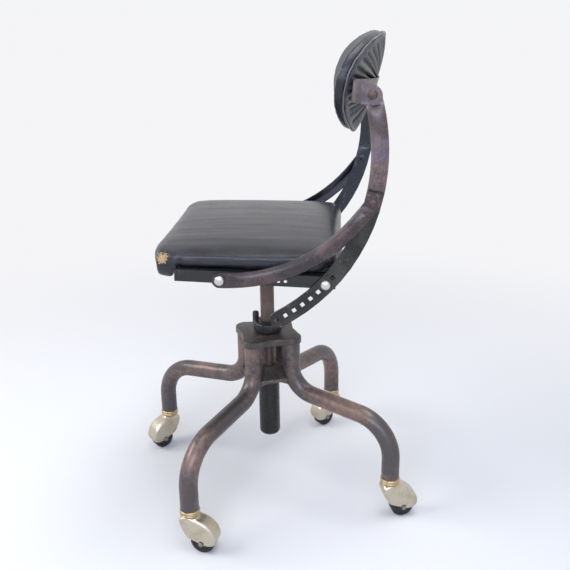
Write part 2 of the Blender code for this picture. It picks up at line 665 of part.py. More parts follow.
def bar_stations():
    arc = BAR_ARC
    top_angle = arc_angle(PIVOT_Z) + math.degrees(BAR_HALF_WIDTH / arc)
    bolt_angle = arc_angle(REAR_BOLT_Z)
    pitch = math.degrees(HOLE_PITCH / arc)
    low_angle = bolt_angle - HOLES_BELOW * pitch - math.degrees(STRAP_END / arc)
    length = math.radians(top_angle - low_angle) * arc
    pivot_at = math.radians(top_angle - arc_angle(PIVOT_Z)) * arc
    joint_at = math.radians(top_angle - arc_angle(JOINT_Z)) * arc
    places = [0.0, 0.0016, 0.0045, 0.0085, 0.0128]
    upright_top = pivot_at + 0.0155
    upright_end = joint_at - 0.0170
    places += [upright_top + (upright_end - upright_top) * k / 8 for k in range(9)]
    places += [upright_top + 0.004, upright_end - 0.004, upright_end + 0.0015]
    strap_start = joint_at + 0.010
    places += [strap_start + (length - 0.010 - strap_start) * k / 10 for k in range(11)]
    places += [length - 0.0045, length - 0.0016, length]
    stations = []
    for s in sorted(places):
        degrees = top_angle - math.degrees(s / arc)
        y, z = arc_place(degrees)
        across = (math.cos(math.radians(degrees)), math.sin(math.radians(degrees)))
        width = min(end_taper(s, BAR_HALF_WIDTH), end_taper(length - s, BAR_HALF_WIDTH * 0.8))
        round_part = smooth_step(upright_top, upright_top + 0.008, s)
        round_part *= 1 - smooth_step(upright_end - 0.005, upright_end, s)
        rim_part = smooth_step(joint_at + 0.085, joint_at + 0.100, s) * (width > 0.9)
        stations.append((y, z, across, BAR_INNER_X, BAR_HALF_WIDTH * width, BAR_SHEET,
                         BAR_BULGE * round_part, STRAP_RIM * rim_part))
    return stations


bar_cuts = [side_hole(*pivot_place, RIVET_RADIUS + GAP), side_hole(*joint_place, RIVET_RADIUS + GAP)]
for number in range(-HOLES_ABOVE, HOLES_BELOW + 1):
    degrees = arc_angle(REAR_BOLT_Z) - number * math.degrees(HOLE_PITCH / BAR_ARC)
    square = box_mesh((SIDE_CUTTER_LENGTH, HOLE_SIDE, HOLE_SIDE))
    bar_cuts.append(moved(square, turn(degrees, "X"), shift(0, *arc_place(degrees))))
both_sides("side_bar", combine(channel_mesh(bar_stations()), bar_cuts, "DIFFERENCE"), black_bar)


def arm_point(t):
    a, b, c, d = ARM_START, ARM_HANDLE_A, ARM_HANDLE_B, joint_place
    weights = ((1 - t) ** 3, 3 * t * (1 - t) ** 2, 3 * t * t * (1 - t), t ** 3)
    return Vector([sum(w * p[k] for w, p in zip(weights, (a, b, c, d))) for k in (0, 1)])


def arm_stations():
    """The arm's middle line: a round end before the front bolt, a curve, and a straight tongue."""
    path = [arm_point(k / 60) for k in range(61)]
    start = (path[1] - path[0]).normalized()
    finish = Matrix.Rotation(math.radians(90 + arc_angle(JOINT_Z)), 2) @ Vector((1, 0))
    lead = ARM_HALF_WIDTH
    length = sum((b - a).length for a, b in zip(path, path[1:]))

    def at(s):
        if s < 0:
            return path[0] + start * s, start
        walked = 0.0
        for a, b in zip(path, path[1:]):
            step = (b - a).length
            if walked + step >= s:
                return a.lerp(b, (s - walked) / step), (b - a).normalized()
            walked += step
        return path[-1] + finish * (s - length), finish

    places = [-lead, -lead + 0.0015, -lead + 0.0045, -lead + 0.008, -0.001]
    places += [0.0115 + (length - 0.020 - 0.0115) * k / 12 for k in range(13)]
    places += [0.0165, length - 0.015, length - 0.008, length, length + 0.007, length + ARM_END_LENGTH]
    stations = []
    for s in sorted(places):
        point, direction = at(s)
        direction = direction.lerp(finish, smooth_step(length - 0.014, length + 0.006, s)).normalized()
        across = (direction.y, -direction.x)
        width = end_taper(s + lead, lead)
        round_part = smooth_step(0.010, 0.022, s) * (1 - smooth_step(length - 0.022, length - 0.010, s))
        lift = (BAR_SHEET + GAP) * smooth_step(length * 0.35, length * 0.62, s)
        stations.append((point.x, point.y, across, BAR_INNER_X + lift, ARM_HALF_WIDTH * width, BAR_SHEET,
                         ARM_BULGE * round_part, 0.0))
    return stations


arm_cuts = [side_hole(*ARM_START, BOLT_RADIUS + GAP), side_hole(*joint_place, RIVET_RADIUS + GAP)]
both_sides("arm", combine(channel_mesh(arm_stations()), arm_cuts, "DIFFERENCE"), rusty_bar)


# Fasteners
def dome_profile(radius, height, steps=3):
    """The outer side of a domed head, from its top to its rim, seated on z = 0."""
    return [(radius * math.sin(math.pi / 2 * k / steps), height * math.cos(math.pi / 2 * k / steps))
            for k in range(steps + 1)]


def bolt_mesh(seat_x, length):
    """A dome-headed bolt whose head is seated at seat_x and whose shank runs inwards."""
    profile = dome_profile(BOLT_HEAD_RADIUS, BOLT_HEAD_HEIGHT)
    profile += [(BOLT_RADIUS, 0.0), (BOLT_RADIUS, -length), (0, -length)]
    return moved(along_x(turned_mesh(profile, 14)), shift(seat_x, 0, 0))


def nut_mesh(seat_x):
    body = cylinder_mesh(NUT_ACROSS / math.sqrt(3), NUT_THICKNESS, 6)
    bore = cylinder_mesh(BOLT_RADIUS + GAP, CUTTER_LENGTH, 12)
    return moved(along_x(combine(body, [bore], "DIFFERENCE")), shift(seat_x - NUT_THICKNESS / 2, 0, 0))


def rivet_mesh(outer_x, inner_x, head_radius=RIVET_HEAD_RADIUS):
    """A rivet with a domed head on each side of what it holds."""
    head = dome_profile(head_radius, RIVET_HEAD_HEIGHT, 2)
    grip = outer_x - inner_x
    profile = head + [(RIVET_RADIUS, 0.0), (RIVET_RADIUS, -grip)]
    profile += [(radius, -grip - height) for radius, height in reversed(head)]
    return moved(along_x(turned_mesh(profile, 12)), shift(outer_x, 0, 0))


sheet_outer = BAR_INNER_X + BAR_SHEET + GAP
rail_inner = RAIL_OUTER_X - RAIL_THICKNESS - GAP
bolt_length = sheet_outer - rail_inner + NUT_THICKNESS + 0.004
for label, place in (("front", ARM_START), ("rear", rear_bolt_place)):
    both_sides(f"{label}_bolt", moved(bolt_mesh(sheet_outer, bolt_length), shift(0, *place)), plated_steel)
    both_sides(f"{label}_nut", moved(nut_mesh(rail_inner), shift(0, *place)), plated_steel)
second_outer = BAR_INNER_X + 2 * (BAR_SHEET + GAP)
joint_rivet = rivet_mesh(second_outer, BAR_INNER_X - GAP)
both_sides("arm_rivet", moved(joint_rivet, shift(0, *joint_place)), rusty_bar)


# Back
def pad_place(across, up, out):
    """From the pad's own oval plane to the chair: bent about the sitter, then tilted."""
    tilt = math.radians(PAD_TILT)
    centre_y = pivot_place[0] - PAD_SET_FORWARD
    forward = out + PAD_BEND * (across / PAD_HALF_WIDTH) ** 2
    return Vector((across, centre_y + up * math.sin(tilt) - forward * math.cos(tilt),
                   PAD_CENTRE_Z + up * math.cos(tilt) + forward * math.sin(tilt)))


def pad_mesh(profile, pleat_depth=0.0):
    """A turned profile of (share of the oval, out) pairs, drawn out to the oval and bent."""
    mesh = turned_mesh(profile, PAD_SIDES)
    for vert in mesh.vertices:
        share = math.hypot(vert.co.x, vert.co.y)
        wave = math.cos(PAD_SIDES / 2 * math.atan2(vert.co.y, vert.co.x))
        fade = smooth_step(0.25, 0.55, share) * (1 - smooth_step(0.90, 0.99, share))
        rear = vert.co.z < cover_front - 0.001
        out = vert.co.z - pleat_depth * fade * wave * rear
        along, up = (math.copysign(share * abs(part / max(share, 1e-6)) ** (2 / PAD_FULLNESS), part)
                     for part in (vert.co.x, vert.co.y))
        vert.co = pad_place(PAD_HALF_WIDTH * along, PAD_HALF_HEIGHT * up, out)
    bm = bmesh.new()
    bm.from_mesh(mesh)
    # the same diagonals in every layer keep the bent faces apart
    bmesh.ops.triangulate(bm, faces=bm.faces, quad_method="SHORT_EDGE")
    return finish_mesh(bm, "pad")


pan_share = 1 - PAN_INSET / PAD_HALF_HEIGHT
gap_share = 2 * GAP / PAD_HALF_HEIGHT
inner_shares = (0.0, 0.5 * pan_share, pan_share)
pan_front = PAD_BACK - GAP
pan_rear = pan_front - PAN_THICKNESS
cushion_rim = pan_rear
cover_front = pan_rear - GAP

# Cushion: crowned front, front seam, drawn-in edge band, and a recess for the pan
crown_shares = (0.0, 0.3, 0.52, 0.7, 0.84, 0.94)
crown = [(share, PAD_FRONT + PAD_CROWN * (1 - share ** 2.6)) for share in crown_shares]
band = [(1.0, PAD_FRONT), (0.985, (PAD_FRONT + cushion_rim) / 2), (1.0, cushion_rim)]
recess = [(pan_share + gap_share, cushion_rim)] + [(share + gap_share * (share > 0), PAD_BACK)
                                                   for share in reversed(inner_shares)]
back_cushion = pad_mesh(crown + band + recess)
pivot_origin = shift(0, *pivot_place)
link("back_cushion", back_cushion, black_leather, pivot_origin)

pan = pad_mesh([(share, pan_front) for share in inner_shares]
               + [(share, pan_rear) for share in reversed(inner_shares)])

# Cover: a shallow dome behind the pan, gathered in pleats towards the strap
cover_shares = (0.99, 0.93, 0.80, 0.62, 0.42, 0.22, 0.0)
dome = [(share, cover_front - 0.003 - (COVER_DEPTH - 0.003) * (1 - share ** 3)) for share in cover_shares]
cover_face = [(share, cover_front) for share in (*inner_shares, pan_share + gap_share, 1.0)]
cover = pad_mesh(cover_face + [(1.0, cover_front - 0.0022)] + dome, COVER_PLEAT_DEPTH)


def strap_stations():
    """The back strap's middle line in plan, from the pad's centre to an ear's round end."""
    tilt = math.radians(PAD_TILT)
    level = (PIVOT_Z - PAD_CENTRE_Z) / math.cos(tilt)
    rear = cover_front - COVER_DEPTH - COVER_PLEAT_DEPTH - GAP - STRAP_THICKNESS / 2
    places = []
    for x in (0.0, 0.03, 0.06, 0.09, 0.115):
        spot = pad_place(x, level, rear)
        places.append((x, spot.y, math.tan(tilt)))
    last = places[-1][1]
    ear_x = second_ear_x + STRAP_THICKNESS / 2
    front_y = pivot_place[0] - STRAP_SET_FORWARD
    places.append((0.140, last + (front_y - last) * 0.62, math.tan(tilt) * 0.8))
    places.append((0.165, front_y, math.tan(tilt) * 0.4))
    places.append((ear_x - 0.009, front_y, 0.0))
    places.append((ear_x - 0.0028, front_y + 0.0028, 0.0))
    places.append((ear_x, front_y + 0.009, 0.0))
    places.append((ear_x, pivot_place[0], 0.0))
    return places


second_ear_x = BAR_INNER_X + BAR_SHEET + GAP


def strap_mesh():
    half = strap_stations()
    ear_x = half[-1][0]
    radius = STRAP_HEIGHT / 2
    ring_data = [(x, y, lean, radius) for x, y, lean in half]
    for degrees in (25, 48, 68, 82):
        ring_data.append((ear_x, pivot_place[0] + radius * math.sin(math.radians(degrees)), 0.0,
                          radius * math.cos(math.radians(degrees))))
    line = [(-x, y, lean, h) for x, y, lean, h in reversed(ring_data[1:])] + ring_data
    bm = bmesh.new()
    rings = []
    for k, (x, y, lean, half_height) in enumerate(line):
        before = Vector(line[max(k - 1, 0)][:2])
        after = Vector(line[min(k + 1, len(line) - 1)][:2])
        direction = (after - before).normalized()
        normal = Vector((-direction.y, direction.x))
        stretch = 1.0
        if 0 < k < len(line) - 1:
            first = (Vector((x, y)) - before).normalized()
            stretch = 1 / max(first.dot(direction), 0.7)
        offset = normal * (STRAP_THICKNESS / 2 * stretch)
        level = PIVOT_Z + (pivot_place[0] - y) * math.tan(math.radians(STRAP_RISE))
        ring = []
        for side, up in ((1, 1), (1, -1), (-1, -1), (-1, 1)):
            rise = up * half_height
            ring.append(bm.verts.new((x + side * offset.x, y + side * offset.y + rise * lean, level + rise)))
        rings.append(ring)
    for first, second in zip(rings, rings[1:]):
        for k in range(4):
            bm.faces.new((first[k], first[(k + 1) % 4], second[(k + 1) % 4], second[k]))
    bm.faces.new(list(reversed(rings[0])))
    bm.faces.new(rings[-1])
    return finish_mesh(bm, "strap")


def back_bolt_axis(x):
    """The point on the pan that a strap bolt runs to, and the bolt's direction out of the back."""
    level = (PIVOT_Z - PAD_CENTRE_Z) / math.cos(math.radians(PAD_TILT))
    start = pad_place(x, level, pan_front)
    end = pad_place(x, level, pan_front - 0.02)
    return start, (end - start).normalized()


def back_bolt_frame(x):
    start, direction = back_bolt_axis(x)
    return Matrix.Translation(start) @ direction.to_track_quat("Z", "Y").to_matrix().to_4x4()


bolt_bores = []
for x in (-BACK_BOLT_X, BACK_BOLT_X):
    bolt_bores.append(moved(cylinder_mesh(BOLT_RADIUS + GAP, CUTTER_LENGTH, 12), back_bolt_frame(x)))


def bored(mesh, cuts):
    return combine(mesh, [cut.copy() for cut in cuts], "DIFFERENCE")


link("back_pan", bored(pan, bolt_bores), rusty_tube, pivot_origin)
link("back_cover", bored(cover, bolt_bores), black_leather, pivot_origin)
strap_cuts = bolt_bores + [side_hole(*pivot_place, RIVET_RADIUS + GAP)]
link("back_strap", bored(strap_mesh(), strap_cuts), rusty_bar, pivot_origin)
strap_outer = COVER_DEPTH + COVER_PLEAT_DEPTH + PAN_THICKNESS + STRAP_THICKNESS + 4 * GAP
for label, x in (("right", -BACK_BOLT_X), ("left", BACK_BOLT_X)):
    profile = [(radius, height + strap_outer + 0.0008) for radius, height in dome_profile(0.0060, 0.0030, 2)]
    profile += [(BOLT_RADIUS, strap_outer + 0.0008), (BOLT_RADIUS, GAP), (0, GAP)]
    bolt = moved(turned_mesh(profile, 12), back_bolt_frame(x))
    link(f"back_bolt_{label}", bolt, plated_steel, pivot_origin)
ear_outer = second_ear_x + STRAP_THICKNESS + GAP
pivot = rivet_mesh(ear_outer, BAR_INNER_X - GAP, 0.0070)
both_sides("back_pivot_rivet", moved(pivot, shift(0, *pivot_place)), rusty_bar)


# Casters. Each is made with its stem on Z and its wheel trailing along +X, then placed.
def hood_outline():
    """Side view: neck, a roof that falls to a round tail, and an open edge that rises to the front."""
    tail = TRAIL + WHEEL_RADIUS + HOOD_SIDE_SPACE + HOOD_WALL + HOOD_TAIL
    low = WHEEL_RADIUS - HOOD_SKIRT
    neck = HOOD_HALF_WIDTH
    return [(-neck, HOOD_TOP_Z), (-neck, 0.0560), (-0.72 * neck, 0.0440), (-0.20 * neck, 0.0290),
            (TRAIL - 0.0085, low + 0.0050), (TRAIL + 0.0030, low), (tail - 0.0110, low),
            (tail - 0.0040, low + 0.0035), (tail, 0.0285), (tail - 0.0010, 0.0365), (tail - 0.0060, 0.0480),
            (tail - 0.0150, 0.0565), (tail - 0.0250, 0.0620), (neck, HOOD_TOP_Z)]


def hood_mesh():
    side = moved(outline_mesh(hood_outline(), 2 * HOOD_HALF_WIDTH), turn(90, "X"))
    side = rounded(side, HOOD_EDGE, 2, 60)
    neck_top = LEG_END_Z - COLLAR_HEIGHT - 2 * GAP
    neck_bottom = HOOD_TOP_Z - 2 * HOOD_EDGE
    neck = cylinder_mesh(HOOD_HALF_WIDTH, neck_top - neck_bottom, 16)
    moved(neck, shift(0, 0, (neck_top + neck_bottom) / 2))
    stem_bottom = HOOD_TOP_Z - 0.004
    stem = cylinder_mesh(STEM_RADIUS, STEM_TOP_Z - stem_bottom, 12)
    moved(stem, shift(0, 0, (STEM_TOP_Z + stem_bottom) / 2))
    hood = combine(side, [neck, stem], "UNION")
    axle_place = shift(TRAIL, 0, WHEEL_RADIUS)
    space = 2 * (WHEEL_HALF_WIDTH + HOOD_SIDE_SPACE)
    well = moved(cylinder_mesh(WHEEL_RADIUS + HOOD_SIDE_SPACE, space, 24), turn(90, "X"), axle_place)
    mouth_size = 3 * WHEEL_RADIUS
    mouth = box_mesh((mouth_size, space, mouth_size))
    moved(mouth, shift(TRAIL - mouth_size / 2, 0, WHEEL_RADIUS - mouth_size / 2))
    axle_bore = moved(cylinder_mesh(AXLE_RADIUS + GAP, CUTTER_LENGTH, 12), turn(90, "X"), axle_place)
    return combine(hood, [well, mouth, axle_bore], "DIFFERENCE")


def wheel_mesh():
    wheel = cylinder_mesh(WHEEL_RADIUS / math.cos(math.pi / WHEEL_SIDES), 2 * WHEEL_HALF_WIDTH, WHEEL_SIDES)
    wheel = rounded(wheel, 0.0022, 1, 50)
    bore = cylinder_mesh(AXLE_RADIUS + GAP, CUTTER_LENGTH, 10)
    wheel = combine(wheel, [bore], "DIFFERENCE")
    return moved(wheel, turn(90, "X"), shift(TRAIL, 0, WHEEL_RADIUS))


def axle_mesh():
    half = HOOD_HALF_WIDTH + GAP
    head = 0.0045
    profile = [(0, half + 0.0013), (head - 0.001, half + 0.0013), (head, half), (AXLE_RADIUS, half),
               (AXLE_RADIUS, -half), (head, -half), (head - 0.001, -half - 0.0013), (0, -half - 0.0013)]
    return moved(turned_mesh(profile, 10), turn(90, "X"), shift(TRAIL, 0, WHEEL_RADIUS))


def collar_mesh():
    """A ringed ferrule under the tube, with a spigot up inside it."""
    top = LEG_END_Z - GAP
    bottom = top - COLLAR_HEIGHT
    inner = STEM_RADIUS + GAP
    spigot = (LEG_RADIUS - LEG_WALL) * math.cos(math.pi / LEG_BORE_SIDES) - GAP
    ring = COLLAR_RING
    middle = (top + bottom) / 2
    spigot_top = top + SPIGOT_LENGTH
    profile = [(inner, spigot_top), (spigot, spigot_top), (spigot, top), (COLLAR_RADIUS, top),
               (COLLAR_RADIUS, middle + ring / 2), (COLLAR_RADIUS - 0.0012, middle),
               (COLLAR_RADIUS, middle - ring / 2), (COLLAR_RADIUS - 0.0016, bottom), (inner, bottom)]
    return turned_mesh(profile, 14)


for index, leg_name in enumerate(LEG_NAMES):
    angle = leg_angle(index)
    foot = shift(LEG_FOOT_OFFSET * math.cos(angle), LEG_FOOT_OFFSET * math.sin(angle), 0)
    facing = foot @ turn(CASTER_TURNS[leg_name], "Z")
    link(f"caster_collar_{leg_name}", moved(collar_mesh(), foot), nickel_brass)
    axle_place = facing @ shift(TRAIL, 0, WHEEL_RADIUS)
    link(f"caster_hood_{leg_name}", moved(hood_mesh(), facing), nickel_brass, facing)
    link(f"caster_wheel_{leg_name}", moved(wheel_mesh(), facing), rubber, axle_place)
    link(f"caster_axle_{leg_name}", moved(axle_mesh(), facing), plated_steel, axle_place)
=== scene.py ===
# Posture desk chair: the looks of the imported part. Metres, +Z up, the chair faces -Y.
import json
import math
import random

import bmesh
import bpy
from mathutils import Matrix, Vector, noise
from mathutils.bvhtree import BVHTree

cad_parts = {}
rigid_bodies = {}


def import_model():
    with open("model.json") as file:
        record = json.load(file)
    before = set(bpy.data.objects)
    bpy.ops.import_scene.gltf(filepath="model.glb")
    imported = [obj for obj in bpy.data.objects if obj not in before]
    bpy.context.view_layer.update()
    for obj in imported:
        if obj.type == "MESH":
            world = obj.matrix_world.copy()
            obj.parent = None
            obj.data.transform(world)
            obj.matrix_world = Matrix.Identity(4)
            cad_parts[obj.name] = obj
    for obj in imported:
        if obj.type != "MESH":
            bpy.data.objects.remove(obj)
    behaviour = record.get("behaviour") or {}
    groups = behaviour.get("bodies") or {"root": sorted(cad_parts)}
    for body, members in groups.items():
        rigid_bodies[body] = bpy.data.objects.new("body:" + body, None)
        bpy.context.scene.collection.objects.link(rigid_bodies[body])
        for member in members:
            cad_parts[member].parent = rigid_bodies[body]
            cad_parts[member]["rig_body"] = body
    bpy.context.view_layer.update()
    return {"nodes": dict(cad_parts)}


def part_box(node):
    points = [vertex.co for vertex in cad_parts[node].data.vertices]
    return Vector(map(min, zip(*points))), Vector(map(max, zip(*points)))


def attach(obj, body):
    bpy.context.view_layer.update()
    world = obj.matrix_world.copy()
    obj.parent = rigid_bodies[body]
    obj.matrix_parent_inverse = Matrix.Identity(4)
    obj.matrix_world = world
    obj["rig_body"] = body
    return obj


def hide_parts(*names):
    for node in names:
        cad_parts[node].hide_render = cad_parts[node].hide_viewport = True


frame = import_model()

nodes = frame["nodes"]
scene = bpy.context.scene
feet = ("front_left", "rear_left", "rear_right", "front_right")
sides = (("left", 1), ("right", -1))


# Camera at the photograph's viewing angle
cameraLook = {"place": (1.26945, 0.11550, 0.83828), "azimuth": 93.7209, "elevation": 19.0798,
              "roll": -0.8407, "lens": 47.041}

def makeCamera(look):
    azimuth, elevation, roll = (math.radians(look[key]) for key in ("azimuth", "elevation", "roll"))
    forward = Vector((-math.sin(azimuth) * math.cos(elevation), math.cos(azimuth) * math.cos(elevation),
                      -math.sin(elevation)))
    right = forward.cross(Vector((0, 0, 1))).normalized()
    up = right.cross(forward)
    turnedRight = right * math.cos(roll) + up * math.sin(roll)
    turnedUp = up * math.cos(roll) - right * math.sin(roll)
    camera = bpy.data.objects.new("camera", bpy.data.cameras.new("camera"))
    camera.data.lens = look["lens"]
    camera.data.sensor_width = 36
    camera.data.clip_start = 0.02
    scene.collection.objects.link(camera)
    facing = Matrix((turnedRight, turnedUp, -forward)).transposed().to_4x4()
    camera.matrix_world = Matrix.Translation(look["place"]) @ facing
    scene.camera = camera

makeCamera(cameraLook)
scene.view_settings.view_transform = "Standard"
print("camera set")


# Node helpers
def addNode(tree, kind, values=None, **settings):
    node = tree.nodes.new(kind)
    for key, value in settings.items():
        setattr(node, key, value)
    for key, value in (values or {}).items():
        node.inputs[key].default_value = value
    return node

# links a socket to another, or sets its value
def feed(tree, socket, value):
    if isinstance(value, bpy.types.NodeSocket):
        tree.links.new(value, socket)
    else:
        socket.default_value = value if isinstance(value, (int, float)) else (*value, 1)

def newGroup(name, inputs, outputs):
    group = bpy.data.node_groups.new(name, "ShaderNodeTree")
    for label, value in inputs.items():
        kind = "NodeSocketFloat" if isinstance(value, float) else "NodeSocketColor"
        socket = group.interface.new_socket(name=label, in_out="INPUT", socket_type=kind)
        socket.default_value = value if isinstance(value, float) else (*value, 1)
    for label, kind in outputs.items():
        group.interface.new_socket(name=label, in_out="OUTPUT", socket_type=kind)
    return group, group.nodes.new("NodeGroupInput"), group.nodes.new("NodeGroupOutput")

def rampNode(tree, source, low, high):
    ranged = addNode(tree, "ShaderNodeMapRange", {"From Min": low, "From Max": high},
                     interpolation_type="SMOOTHSTEP")
    tree.links.new(source, ranged.inputs["Value"])
    return ranged.outputs["Result"]

def mixColours(tree, factor, first, second, blend="MIX"):
    mix = addNode(tree, "ShaderNodeMix", data_type="RGBA", blend_type=blend)
    for index, value in ((0, factor), (6, first), (7, second)):
        feed(tree, mix.inputs[index], value)
    return mix.outputs[2]

def mathNode(tree, operation, first, second=0.0):
    node = addNode(tree, "ShaderNodeMath", operation=operation)
    for socket, value in zip(node.inputs, (first, second)):
        feed(tree, socket, value)
    return node.outputs[0]

def times(tree, first, second):
    return mathNode(tree, "MULTIPLY", first, second)

def plus(tree, first, second):
    return mathNode(tree, "ADD", first, second)

def minus(tree, first, second):
    return mathNode(tree, "SUBTRACT", first, second)

def noiseNode(tree, place, scale, detail=4.0, roughness=0.55, distortion=0.0):
    pattern = addNode(tree, "ShaderNodeTexNoise",
                      {"Detail": detail, "Roughness": roughness, "Distortion": distortion})
    feed(tree, pattern.inputs["Scale"], scale)
    feed(tree, pattern.inputs["Vector"], place)
    return pattern.outputs["Fac"]

def objectPlace(tree):
    return addNode(tree, "ShaderNodeTexCoord").outputs["Object"]

def stretched(tree, scale):
    mapping = addNode(tree, "ShaderNodeMapping", {"Scale": scale})
    tree.links.new(objectPlace(tree), mapping.inputs["Vector"])
    return mapping.outputs["Vector"]

def splitAxes(tree, place):
    split = addNode(tree, "ShaderNodeSeparateXYZ")
    tree.links.new(place, split.inputs[0])
    return split.outputs

def limited(tree, value):
    return mathNode(tree, "MINIMUM", mathNode(tree, "MAXIMUM", value, 0.0), 1.0)

def linkResults(group, result, colour, rough, height):
    for label, value in (("Colour", colour), ("Roughness", rough), ("Height", height)):
        group.links.new(value, result.inputs[label])


# Shared effects
effectOutputs = {"Colour": "NodeSocketColor", "Roughness": "NodeSocketFloat", "Height": "NodeSocketFloat"}

metalPattern = {"patches": 2.7, "specks": 14.0, "fine": 45.0, "scratches": (900, 60, 60), "wearFrom": 0.78,
                "rustFrom": 0.80, "reach": 0.5, "wearGain": 6.0, "rustGain": 8.0,
                "scratchColour": (0.42, 0.40, 0.38), "darkest": 0.72, "shading": 0.56,
                "rustRoughness": 0.28, "speckRoughness": 0.25}

def makeAgedMetal(look):
    tree, source, result = newGroup(
        "agedMetal",
        {"Paint": (0.1, 0.1, 0.1), "Worn": (0.2, 0.15, 0.12), "Rust": (0.2, 0.08, 0.04), "Wear": 0.5,
         "Rusting": 0.3, "Scale": 20.0, "Smoothness": 0.4, "Scratches": 0.3},
        effectOutputs)
    given = source.outputs
    place = objectPlace(tree)
    scale = given["Scale"]
    broad = noiseNode(tree, place, scale, 5.0, 0.6, 0.4)
    patches = noiseNode(tree, place, times(tree, scale, look["patches"]), 6.0, 0.65, 0.8)
    specks = noiseNode(tree, place, times(tree, scale, look["specks"]), 3.0, 0.7)
    fine = noiseNode(tree, place, times(tree, scale, look["fine"]), 2.0, 0.5)
    scratchLines = noiseNode(tree, stretched(tree, look["scratches"]), 1.0, 2.0, 0.6, 1.5)
    wearLevel = plus(tree, times(tree, broad, 0.7), times(tree, specks, 0.3))
    wearStart = minus(tree, look["wearFrom"], times(tree, given["Wear"], look["reach"]))
    worn = limited(tree, times(tree, minus(tree, wearLevel, wearStart), look["wearGain"]))
    rustLevel = plus(tree, times(tree, patches, 0.75), times(tree, specks, 0.25))
    rustStart = minus(tree, look["rustFrom"], times(tree, given["Rusting"], look["reach"]))
    rusty = limited(tree, times(tree, minus(tree, rustLevel, rustStart), look["rustGain"]))
    scratched = times(tree, rampNode(tree, scratchLines, 0.66, 0.72), given["Scratches"])
    colour = mixColours(tree, worn, given["Paint"], given["Worn"])
    colour = mixColours(tree, rusty, colour, given["Rust"])
    colour = mixColours(tree, scratched, colour, look["scratchColour"])
    shade = plus(tree, look["darkest"], times(tree, fine, look["shading"]))
    shade = mixColours(tree, shade, (0, 0, 0), (1, 1, 1))
    colour = mixColours(tree, 1.0, colour, shade, "MULTIPLY")
    rough = plus(tree, given["Smoothness"], times(tree, rusty, look["rustRoughness"]))
    rough = plus(tree, rough, times(tree, minus(tree, specks, 0.5), look["speckRoughness"]))
    height = plus(tree, times(tree, specks, 0.5), times(tree, fine, 0.25))
    height = plus(tree, height, times(tree, rusty, 0.35))
    height = minus(tree, height, times(tree, scratched, 0.5))
    linkResults(tree, result, colour, rough, height)
    return tree

grainPattern = {"pebbles": 620.0, "creases": (150, 16, 110), "creaseWidth": 0.035, "creasePatches": 14.0,
                "rubbed": 22.0, "creaseShadeColour": (0.008, 0.008, 0.009), "roughness": 0.24, "roughnessRange": 0.22}

def makeLeatherGrain(look):
    tree, source, result = newGroup(
        "leatherGrain",
        {"Scale": 1.0, "Creases": 0.5, "Base": (0.02, 0.02, 0.03), "Rubbed": (0.09, 0.09, 0.10),
         "Rubbing": 0.4},
        effectOutputs)
    given = source.outputs
    place = objectPlace(tree)
    cells = addNode(tree, "ShaderNodeTexVoronoi", {"Randomness": 0.9}, feature="DISTANCE_TO_EDGE")
    tree.links.new(place, cells.inputs["Vector"])
    tree.links.new(times(tree, given["Scale"], look["pebbles"]), cells.inputs["Scale"])
    pebbles = rampNode(tree, cells.outputs["Distance"], 0.0, 0.25)
    long = noiseNode(tree, stretched(tree, look["creases"]), 1.0, 5.0, 0.62, 0.9)
    lines = mathNode(tree, "ABSOLUTE", minus(tree, long, 0.5))
    creased = minus(tree, 1.0, rampNode(tree, lines, 0.0, look["creaseWidth"]))
    fade = noiseNode(tree, place, look["creasePatches"], 3.0, 0.5)
    creased = times(tree, creased, rampNode(tree, fade, 0.38, 0.62))
    creased = times(tree, creased, given["Creases"])
    broad = noiseNode(tree, place, look["rubbed"], 6.0, 0.65, 0.5)
    rubbed = times(tree, rampNode(tree, broad, 0.42, 0.70), given["Rubbing"])
    colour = mixColours(tree, rubbed, given["Base"], given["Rubbed"])
    # painted shade: the creases are darkened towards near black
    colour = mixColours(tree, times(tree, creased, 0.6), colour, look["creaseShadeColour"])
    rough = plus(tree, look["roughness"], times(tree, broad, look["roughnessRange"]))
    height = minus(tree, times(tree, pebbles, 0.16), times(tree, creased, 0.7))
    height = plus(tree, height, times(tree, long, 0.5))
    linkResults(tree, result, colour, rough, height)
    return tree

agedMetal = makeAgedMetal(metalPattern)
leatherGrain = makeLeatherGrain(grainPattern)


# Materials
def newMaterial(name):
    material = bpy.data.materials.new(name)
    material.use_nodes = True
    return material, material.node_tree, material.node_tree.nodes["Principled BSDF"]

def addBump(tree, shader, height, strength, depth):
    raised = addNode(tree, "ShaderNodeBump", {"Strength": strength, "Distance": depth})
    tree.links.new(height, raised.inputs["Height"])
    tree.links.new(raised.outputs["Normal"], shader.inputs["Normal"])

def groupMaterial(name, group, look, metallic=0.0, bump=0.3, bumpDepth=0.0006, coat=0.0, coatRoughness=0.2,
                  specular=0.5):
    material, tree, shader = newMaterial(name)
    for label, value in (("Metallic", metallic), ("Coat Weight", coat), ("Coat Roughness", coatRoughness),
                         ("Specular IOR Level", specular)):
        shader.inputs[label].default_value = value
    effect = addNode(tree, "ShaderNodeGroup", node_tree=group)
    for label, value in look.items():
        feed(tree, effect.inputs[label], value)
    tree.links.new(effect.outputs["Colour"], shader.inputs["Base Color"])
    tree.links.new(effect.outputs["Roughness"], shader.inputs["Roughness"])
    addBump(tree, shader, effect.outputs["Height"], bump, bumpDepth)
    return material

def firstNode(tree, kind):
    return next(node for node in tree.nodes if node.type == kind)

# one of the effect's colours, from below to above over a ragged line
def fadeInput(material, label, look, below, above):
    tree = material.node_tree
    place = objectPlace(tree)
    ragged = noiseNode(tree, place, look["grain"], 4.0)
    shifted = plus(tree, splitAxes(tree, place)["Z"], times(tree, minus(tree, ragged, 0.5), look["ragged"]))
    share = rampNode(tree, shifted, *look["rise"])
    tree.links.new(mixColours(tree, share, below, above), firstNode(tree, "GROUP").inputs[label])

